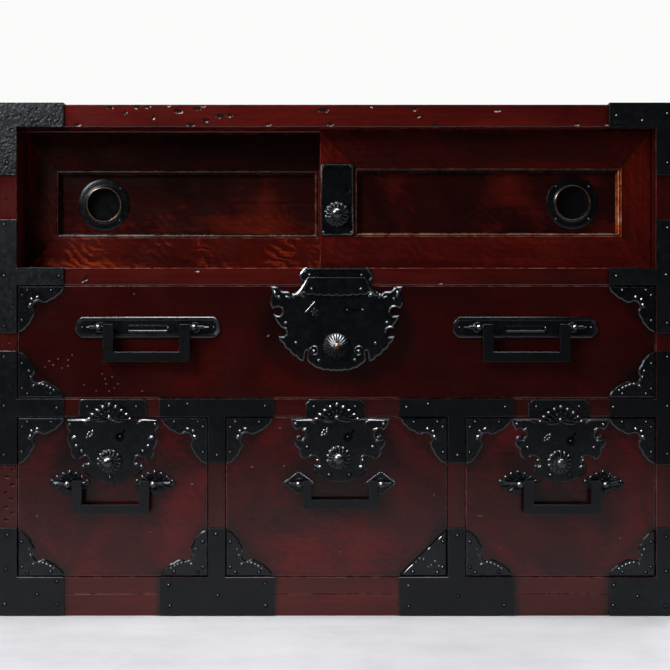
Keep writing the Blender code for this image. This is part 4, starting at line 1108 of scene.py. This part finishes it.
# Beads of a stamped leaf as (along, across, size).
FEATHER = [
    (-5.6, 0, 1.5), (-2.4, 1.9, 1.7), (-2.2, -2.0, 1.6), (1.2, 2.2, 1.8), (1.4, -2.2, 1.7), (4.8, 0, 2.0),
]
FEATHER_TURN = math.radians(48)


def add_feather(relief, x, z, accent):
    """A small beaded leaf, as stamped beside the keyholes."""
    u, v = math.cos(FEATHER_TURN), math.sin(FEATHER_TURN)
    for along, across, size in FEATHER:
        px, pz = x + u * along - v * across, z + v * along + u * across
        relief.dome(px, pz, size * 1.25, 1.2, accent, 10, 0.7, FEATHER_TURN)


# Small locks: keyholes are (x, z, turn), curls (x, z, radius, turn) and studs (x, z, length, width share).
SMALL_STROKE = path([(58, 38.0, 0), (40, 38.4, -0.25), (32, 33, 0)])
SMALL_CURLS = [(52.4, 20.6, 8.0, 205), (34.8, -14.6, 8.0, 140)]
SMALL_STUDS = [(46.5, 26.5, 3.6, 0.6), (48.5, 12, 2.2, 0.9), (27, -22.5, 3.0, 0.7), (29.5, -14, 2.0, 0.9)]
SMALL_DROP = 42.2
# Accent and stroke irons go from bright on the left drawer to dull on the right: painted highlight that falls
# off away from the lamps on the left.
SMALL_LOCKS = {
    "left_drawer": {
        "accent": RELIEF, "stroke": RELIEF, "outline": LEFT_PLATE, "boss": (-3.9, -15.5), "flower": (-3.5, 0),
        "keyhole": (9.5, 16.6, 54), "feather": (-29.5, 20), "curls": [(34.6, -13.2, 5.9, 150)],
        "nails": [(-56, 33), (56, 33), (-40, -2), (40, -2), (-2.7, -36)],
        "studs": [(50.5, 15.5, 4.2, 0.62), (47, 5, 2.2, 0.9), (31, -19, 2.6, 0.8), (38, -21.5, 1.9, 0.9)],
    },
    "middle_drawer": {
        "accent": RELIEF, "stroke": STUD, "outline": SMALL_PLATE, "boss": (-1.9, -10.9), "flower": (-4, 0),
        "keyhole": (10.1, 16.6, 46), "feather": (-20.2, 23), "curls": SMALL_CURLS, "studs": SMALL_STUDS,
        "nails": [(-58, 34), (-43, 3.5), (43, 3.6), (57, 33.6), (-14, -33), (12, -33)],
    },
    "right_drawer": {
        "accent": STUD, "stroke": DULL, "outline": SMALL_PLATE, "boss": (-1.4, -16.6), "flower": (0, 3),
        "keyhole": (13.2, 11.4, 62), "feather": (-17, 16), "curls": SMALL_CURLS, "studs": SMALL_STUDS,
        "nails": [(-57, 34), (-43, 3), (44, 3), (56, 33), (-13, -33), (12, -33)],
    },
}


def build_small_lock(drawer, detail):
    """A small drawer's lock: a lobed plate, a flower over the rail and a knob."""
    accent = detail["accent"]
    relief = Relief((middle_of(f"{drawer}_lock_plate")[0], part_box(f"{drawer}_front")[1].z - SMALL_DROP * MM))
    key_x, key_z, key_turn = detail["keyhole"]
    hole = keyhole(key_x, key_z, 4.1, key_turn, 13.0, 1.1)
    relief.bevelled(mirrored(detail["outline"]), [hole], IRON_BACK, PLATE_FRONT, 2.0, DULL)
    relief.backing(key_x - 6, key_z - 6, key_x + 15, key_z + 16)
    relief.ring(key_x, key_z, 5.1, 2.4, 0.3, HOLE)
    relief.dome(key_x, key_z, 1.6, 1.4, NAIL, y=IRON_BACK)
    for side in (-1, 1):
        for x, z, radius, turn in detail["curls"]:
            angle = flipped_turn(turn, side)
            relief.ring(side * x, z, radius, 3.0, 0.8, DULL, angle - 1.9, angle + 1.9, True)
        relief.rim(flipped(SMALL_STROKE, side), 4.2, 2.0, detail["stroke"], taper=True)
        for x, z, length, wide in detail["studs"]:
            relief.dome(side * x, z, length, 2.4, accent, 14, wide, 0.5)
    flower_x, drop = detail["flower"]
    tongue = [(flower_x + x, z - drop * 0.6) for x, z in mirrored(FLOWER_TONGUE)]
    relief.plate([tongue], TONGUE_BACK, TONGUE_FRONT, TONGUE_CHAMFER)
    add_flower(relief, flower_x, drop, accent)
    add_feather(relief, *detail["feather"], accent)
    relief.nails(detail["nails"])
    add_small_boss(relief, *detail["boss"], accent)
    piece = relief.done(f"{drawer}_lock", drawer)
    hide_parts(f"{drawer}_lock_plate")


def build_door_lock():
    """The right door's lock: a plain plate with clipped corners and a knob."""
    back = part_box("right_door_frame")[0].y - 0.0003
    relief = Relief(middle_of("right_door_lock_plate"), back - 0.0018)
    wide, tall, nick = 22, 48, 2.2
    outline = [
        (-wide + nick, tall), (wide - nick, tall), (wide, tall - nick), (wide, nick - tall),
        (wide - nick, -tall), (nick - wide, -tall), (-wide, nick - tall), (-wide, tall - nick),
    ]
    hole = keyhole(13.2, 11.5, 3.4, 95, 9.0, 1.0)
    relief.plate([outline, hole], back, relief.face, TONGUE_CHAMFER)
    relief.backing(7, 5, 19, 24, back + 0.0002, back)
    relief.rim(inset(outline, 1.4), 2.0, 0.7, RIM, True)
    relief.nails([(sx * 18.4, sz * 43.6) for sx in (-1, 1) for sz in (-1, 1)], 1.8, 1.4)
    add_small_boss(relief, -0.5, -20)
    piece = relief.done("right_door_lock", "right_door")
    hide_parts("right_door_lock_plate")


# Corner plates as (along the level leg, along the upright leg); studs add (turn, length, width share).
CORNER_PLATE = path([
    (0, 0, 0), (0, 60, 0), (2.6, 59.8, 0.2), (11.8, 52.4, 0.22), (17.6, 43.4, 0.22), (21.8, 32, -0.95),
    (32, 21.8, 0.22), (43.4, 17.6, 0.22), (52.4, 11.8, 0.2), (59.8, 2.6, 0), (60, 0, 0),
])
CORNER_NAILS = [(43, 5.5), (5, 45), (12, 5.2), (5.2, 12)]
CORNER_CURL = 26.9
CORNER_MARGIN = 0.4 * MM
TOP_STUDS = [(15.5, 25.5, -60, 3.6, 0.6), (25, 14.5, -20, 2.4, 0.7), (18, 17.5, 45, 2.0, 0.8)]
LOW_STUDS = [
    (28, 18, -25, 2.2, 0.7), (33, 17, -25, 2.2, 0.7), (38, 15.2, -28, 2.1, 0.7), (42.6, 12.8, -34, 2.0, 0.7),
    (46.8, 9.8, -40, 1.8, 0.8), (17, 27, -62, 2.1, 0.7), (14.4, 35, -62, 1.9, 0.7), (20, 15.4, 30, 2.6, 0.6),
]
STRAIGHT_PLATE = [(0, 0), (0, 60), (2, 60.5), (61, 3), (61, 0)]
STRAIGHT_RIBS = [((8, 54), (13, 49)), ((23, 39.5), (27, 35.5)), ((46, 17), (58, 5.5))]
STRAIGHT_BEADS = [
    (30, 22, 1.5), (20, 14, 1.6), (15, 19, 1.5), (10, 13, 1.7), (24, 12, 1.4), (40, 18.5, 1.3),
    (35.5, 23, 1.3),
]
STRAIGHT_NAILS = [(44, 5.5), (5, 45), (12, 5.2), (5.2, 12)]
RIB_INSET = 1.8


def add_straight_plate(relief):
    """A plain lower right drawer corner, with ribs along its long edge."""
    relief.bevelled(flipped(reversed(STRAIGHT_PLATE), -1), [], IRON_BACK, CORNER_FRONT, 1.6, HOLE)
    for (u0, v0), (u1, v1) in STRAIGHT_RIBS:
        rib = ((u0, v0), ((u0 + u1) / 2, (v0 + v1) / 2), (u1, v1))
        relief.rim([(RIB_INSET - u, v - RIB_INSET) for u, v in rib], 2.2, 0.8, STUD, taper=True)
    for u, v, radius in STRAIGHT_BEADS:
        relief.dome(-u, v, radius, 1.0, STUD, 10)
    relief.nails(flipped(STRAIGHT_NAILS, -1), 1.6, 1.1)


def add_corner_plate(relief, side_x, side_z):
    """A right-angled drawer corner with a scalloped long edge, curled where its two wings meet."""

    def placed(points):
        line = [(side_x * u, side_z * v) for u, v in points]
        return line[::-1] if side_x * side_z < 0 else line

    relief.bevelled(placed(CORNER_PLATE), [], IRON_BACK, CORNER_FRONT, 1.7, DULL)
    studs, metal = (TOP_STUDS, RELIEF) if side_z < 0 else (LOW_STUDS, STUD)
    for u, v, turn, length, wide in studs:
        angle = math.atan2(side_z * math.sin(math.radians(turn)), side_x * math.cos(math.radians(turn)))
        relief.dome(side_x * u, side_z * v, length, 1.9, metal, 12, wide, angle)
    toward = math.atan2(-side_z, -side_x)
    x, z = side_x * CORNER_CURL, side_z * CORNER_CURL
    relief.ring(x, z, 8.6, 2.6, 0.6, DULL, toward - 1.7, toward + 1.7, True)
    relief.nails(placed(CORNER_NAILS), 1.6, 1.1)


def build_corner_plates(drawer):
    low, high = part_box(f"{drawer}_front")
    relief = Relief(face=CORNER_FRONT)
    for side_x, x in ((1, low.x + CORNER_MARGIN), (-1, high.x - CORNER_MARGIN)):
        for side_z, z in ((1, low.z + CORNER_MARGIN), (-1, high.z - CORNER_MARGIN)):
            relief.centre = (x, z)
            if drawer == "middle_drawer" and (side_x, side_z) == (-1, 1):
                add_straight_plate(relief)
            else:
                add_corner_plate(relief, side_x, side_z)
    relief.done(f"{drawer}_corner_plates", drawer)


# Strike plates as (name, board, left and right pixel of the photograph, corner size, corner bulge).
STRIKES = [
    ("long", "door_shelf", 301, 372, 6.0, -0.4),
    ("left", "middle_shelf", 78.7, 146.9, 6.0, 0.4),
    ("middle", "middle_shelf", 305.5, 366, 5.0, -0.4),
    ("right", "middle_shelf", 528, 590, 5.0, -0.4),
]
STRIKE_LOBE = path([(8, 0.5, -0.25), (2.2, -5.5, -0.45), (1.2, -14, 0.1), (3.6, -16.5, 0)])
STRIKE_MARGIN = 0.3


def build_strikes():
    """The plates on the rails above the drawers, behind the locks' tongues."""
    for name, board, left, right, nick, bend in STRIKES:
        low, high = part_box(board)
        x0, x1 = front_point(left, 0)[0], front_point(right, 0)[0]
        foot, top = low.z / MM + STRIKE_MARGIN, high.z / MM - STRIKE_MARGIN
        outline = path([
            (x0, foot, 0), (x0, top - nick, bend), (x0 + nick, top, 0), (x1 - nick, top, bend),
            (x1, top - nick, 0), (x1, foot, 0),
        ])
        relief = Relief(face=STRIKE_FRONT)
        relief.plate([outline], FRONT_Y - 0.0002, STRIKE_FRONT, 0.0002)
        relief.rim(inset(outline, 0.9, False), 1.2, 0.25, RIM)
        z = (top + foot) / 2 + 1.5
        relief.nails([(x0 + 11, z), (x1 - 14, z)], 1.8, 1.0)
        if name == "long":
            # The left lobe gets the brighter iron and the right the duller one: painted highlight and shade,
            # with the lamps on the left.
            for end, side, metal in ((x0, 1, RELIEF), (x1, -1, DULL)):
                line = [(end + u, top + v) for u, v in flipped(STRIKE_LOBE, side)]
                relief.rim(line, 3.6, 1.1, metal, taper=True)
        relief.done(f"{name}_strike_plate", "carcass")


HANDLE_HALF = [
    (0, 13.75, 0), (86.5, 13.75, 0.12), (94.5, 5.75, 0), (94.5, -5.75, 0.12), (86.5, -13.75, 0),
    (0, -13.75, 0),
]
HANDLE_SLOT = [(-25, 1.6), (-25, -4.4), (25, -4.4), (25, 1.6)]
HANDLE_POST = 62.2


def build_handle_relief():
    """Rims, the raised middle bar and the post caps of the long drawer's handles."""
    # The left handle gets the brighter iron and the right the duller one: painted highlight and shade, with the
    # lamps on the left.
    for side, accent in (("left", STUD), ("right", DULL)):
        relief = Relief(middle_of(f"long_drawer_{side}_handle_plate"))
        relief.rim(inset(mirrored(HANDLE_HALF), 1.2), 2.2, 0.8, accent, True, section=LIP)
        relief.rim(HANDLE_SLOT, 1.2, 0.5, accent, True, section=LIP)
        relief.dome(26.5, -1.4, 2.6, 0.9, STUD, 12, 0.4, math.pi / 2)
        for end in (-1, 1):
            relief.dome(end * HANDLE_POST, 0, 3.2, 1.8, RELIEF, 16, y=POST_FRONT)
            relief.ring(end * HANDLE_POST, 0, 5.6, 2.4, 0.8, DULL)
            pin = [(end * 66, 0), (end * 73, 0), (end * 80, 0)]
            relief.rim(pin, 1.8, 0.8, accent, section=ROD, y=PLATE_FRONT - 0.0012)
            relief.nails([(end * 86, 0)], 1.3, 1.0)
        relief.done(f"long_drawer_{side}_handle_relief", "long_drawer")


# Rosettes: leaves by their tips on the right, or a rhombus with beads along its upper edges.
LEAF_TIPS = [
    (0, 16), (8.6, 13.6), (16, 9.2), (23, 4.2), (27.2, -0.5), (21, -6.4), (12.6, -10.4), (4.2, -13.4),
]
LEAF_ROOT = 0.3
RHOMBUS = [(0, 16), (21.5, 0), (0, -15.5), (-21.5, 0)]
RHOMBUS_BEADS = 7
BAIL_HALF = 4 * MM


def build_rosettes(drawer, leafy):
    """Petals or a beaded rhombus round each eye post."""
    for side in ("left", "right"):
        relief = Relief((middle_of(f"{drawer}_{side}_rosette")[0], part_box(f"{drawer}_bail")[1].z - BAIL_HALF))
        if leafy:
            for number, (x, z) in enumerate(LEAF_TIPS):
                for hand in (-1, 1) if x else (1,):
                    u = hand * x
                    root = (u * LEAF_ROOT, z * LEAF_ROOT)
                    relief.petal(root, (u, z), 7.0, 2.6 - 0.12 * number, PLATE, PLATE_FRONT + 0.0003)
                    if z > 2:
                        relief.dome(u, z - 1.4, 2.1, 2.2, STUD)
        else:
            relief.rim(inset(RHOMBUS, 1.6), 2.6, 0.5, DULL, True)
            for hand in (-1, 1):
                for i in range(RHOMBUS_BEADS):
                    share = (i + 0.6) / (RHOMBUS_BEADS + 0.4)
                    x, z = hand * 19.5 * share, 14.4 * (1 - share)
                    relief.dome(x, z, 1.4, 1.2, STUD, 10, y=PLATE_FRONT - 0.0003)
        relief.ring(0, 0, 5.6, 2.4, 1.4, DULL)
        reach = 20 if leafy else 13
        pin = [(-reach, 0), (-reach / 2, 0), (0, 0), (reach / 2, 0), (reach, 0)]
        relief.rim(pin, 2.6, 0.9, SMALL_LOCKS[drawer]["stroke"], section=ROD, y=PLATE_FRONT - 0.0024)
        relief.dome(0, 0, 3.6, 2.0, RELIEF, 16, y=POST_FRONT)
        relief.done(f"{drawer}_{side}_rosette_relief", drawer)


# Nails in the carcass irons, at pixels of the photograph; those on the sides and the top in metres.
STRAP_NAILS = [
    (7, 116), (54, 115), (7, 163), (32, 121), (616, 116), (667, 114), (667, 163), (642, 121),
    (4, 225), (4, 276), (59, 276), (4, 326), (667, 228), (666, 275), (616, 276), (667, 323),
    (4, 357), (4, 406), (57, 408), (4, 455), (667, 357), (667, 406), (613, 407), (667, 454),
    (169, 406), (187.6, 404), (265, 406), (217, 455), (406.4, 407), (428, 404), (505, 407), (457.5, 455),
    (7.5, 535), (6, 569), (57.5, 581), (37.5, 594), (5, 604), (58, 604),
    (216, 534), (169, 585), (170, 605.5), (218, 595), (265.5, 583.5), (266, 605.5),
    (457.5, 535.5), (408.7, 585.5), (408.7, 606), (458, 596), (505.5, 584), (504, 605),
    (666, 537), (666, 571), (613.7, 585), (637.5, 596), (613, 605), (665, 606),
]
NAIL_ROWS = (FRONT_Y + 0.012, FRONT_Y + 0.045)
SIDE_NAIL_HEIGHTS = (0.656, 0.593, 0.51, 0.452, 0.385, 0.338, 0.28, 0.21, 0.104, 0.062, 0.016)
TOP_NAIL_PLACES = (0.438, 0.372)
STRAP_NAIL = (1.7, 1.2)
STRAP_SMOOTH = 60


def build_strap_nails():
    relief = Relief(face=STRAP_FRONT)
    shape = relief.shape
    relief.nails([front_point(px, py) for px, py in STRAP_NAILS], *STRAP_NAIL)

    def add_turned_nail(place, angle, axis):
        start = len(shape.verts)
        relief.nails([(0, 0)], *STRAP_NAIL, y=0)
        shape.verts.ensure_lookup_table()
        matrix = Matrix.Translation(place) @ Matrix.Rotation(angle, 4, axis)
        bmesh.ops.transform(shape, matrix=matrix, verts=shape.verts[start:])

    for z in SIDE_NAIL_HEIGHTS:
        for y in NAIL_ROWS:
            for side in (-1, 1):
                add_turned_nail((side * (HALF_WIDTH + STRAP_THICK), y, z), side * math.pi / 2, "Z")
    for side in (-1, 1):
        for x in TOP_NAIL_PLACES:
            for y in NAIL_ROWS:
                add_turned_nail((side * x, y, TOP_Z + STRAP_THICK), -math.pi / 2, "X")
    relief.done("strap_nails", "carcass", smooth=STRAP_SMOOTH)


build_door_frame("left_door", -1)
build_door_frame("right_door", 1)
build_pull("left_door")
build_pull("right_door")
build_long_lock()
build_door_lock()
for drawer_name, lock_detail in SMALL_LOCKS.items():
    build_small_lock(drawer_name, lock_detail)
    build_corner_plates(drawer_name)
    build_rosettes(drawer_name, drawer_name != "middle_drawer")
build_corner_plates("long_drawer")
build_strikes()
build_handle_relief()
build_strap_nails()

# The floor is lit up to one distance from the middle, and plain from the other on.
FLOOR_LIT = 1.0
FLOOR_PLAIN = 1.9
FLOOR_HALF = 12


def floor_material():
    """Pale floor with a faint mottle; far from the chest it is seen plain, without the lamps' falloff."""
    s = Shader("pale_floor", 30)
    blotch = s.noise(s.place, 7.0, 8.0, 0.68)
    streak = s.noise(s.scaled(3.0, 16.0, 1.0), 1.0, 6.0, 0.65)
    tone = s.add(s.times(blotch, 0.6), s.times(streak, 0.4))
    pale = tones((208, 209, 214), (221, 221, 226), (230, 230, 234))
    colour = s.ramp(tone, *zip((0.36, 0.5, 0.64), pale))
    s.done(colour, 0.6, s.bump(blotch, 0.0006, 0.1))
    far = s.range(s.vector("LENGTH", s.rest), FLOOR_LIT, FLOOR_PLAIN)
    behind = s.range(s.axes(s.rest)["Y"], -FLOOR_PLAIN, -FLOOR_LIT)
    from_camera, shiny = s.rays()
    seen = s.larger(from_camera, s.times(shiny, behind))
    glow = s.node("ShaderNodeEmission", Color=colour, Strength=1.0)
    choice = s.node("ShaderNodeMixShader")
    for socket, value in zip(choice.inputs, (s.times(seen, far), s.surface.outputs[0], glow.outputs[0])):
        s.feed(socket, value)
    s.feed(s.tree.nodes["Material Output"].inputs["Surface"], choice.outputs[0])
    return s.material


def stage_sheet(name, corners, material):
    shape = bmesh.new()
    shape.faces.new([shape.verts.new(corner) for corner in corners])
    mesh = close_shape(shape, name)
    mesh.materials.append(material)
    sheet = bpy.data.objects.new(name, mesh)
    bpy.context.scene.collection.objects.link(sheet)


floor_corners = [(x * FLOOR_HALF, y * FLOOR_HALF, 0) for x, y in ((-1, -1), (1, -1), (1, 1), (-1, 1))]
stage_sheet("floor", floor_corners, floor_material())


def area_light(name, place, aim, width, height, power, spread):
    lamp = bpy.data.lights.new(name, "AREA")
    lamp.shape = "RECTANGLE"
    lamp.size, lamp.size_y = width, height
    lamp.energy = power
    lamp.spread = math.radians(spread)
    light = bpy.data.objects.new(name, lamp)
    light.location = place
    light.rotation_euler = (Vector(aim) - Vector(place)).to_track_quat("-Z", "Y").to_euler()
    bpy.context.scene.collection.objects.link(light)


area_light("key", (-1.5, -1.4, 1.85), (0, -0.2, 0.35), 0.75, 0.75, 11.0, 100)
area_light("window", (-1.4, -2.0, 1.55), (-0.3, -0.2, 0.5), 0.6, 0.6, 2.8, 100)
area_light("overhead", (0.0, -0.45, 2.3), (0, -0.4, 0), 1.7, 0.8, 8.2, 80)
area_light("back_fill", (0.4, 1.6, 2.4), (0, 0.3, 0.4), 2.0, 0.8, 6, 120)
area_light("right_fill", (2.0, 1.3, 1.3), (0.45, 0.05, 0.35), 0.9, 0.9, 5, 90)


def light_world():
    """A dim room behind the camera and a white backdrop, which the camera sees all round."""
    world = bpy.data.worlds.new("studio")
    bpy.context.scene.world = world
    world.use_nodes = True
    n = Nodes(world.node_tree)
    sky = n.tree.nodes["Background"]
    sky.inputs["Color"].default_value = (0.96, 0.96, 0.955, 1)
    depth = n.axes(n.node("ShaderNodeTexCoord").outputs["Generated"])["Y"]
    from_camera, shiny = n.rays()
    dull_light = n.range(depth, -0.7, -0.1, 0.006, 0.05)
    shiny_light = n.range(depth, 0.3, 0.7, 0.012, 1.0)
    light = n.mix(shiny, dull_light, shiny_light, "FLOAT")
    n.feed(sky.inputs["Strength"], n.mix(from_camera, light, 1.0, "FLOAT"))


light_world()

camera_data = bpy.data.cameras.new("camera")
camera_data.lens = 57.4
camera_data.sensor_width = 36
camera = bpy.data.objects.new("camera", camera_data)
camera.location = (-0.002, FRONT_Y - 1.4, 0.368)
camera.rotation_euler = (math.pi / 2, 0, 0)
bpy.context.scene.collection.objects.link(camera)
bpy.context.scene.camera = camera
bpy.context.scene.view_settings.view_transform = "Standard"
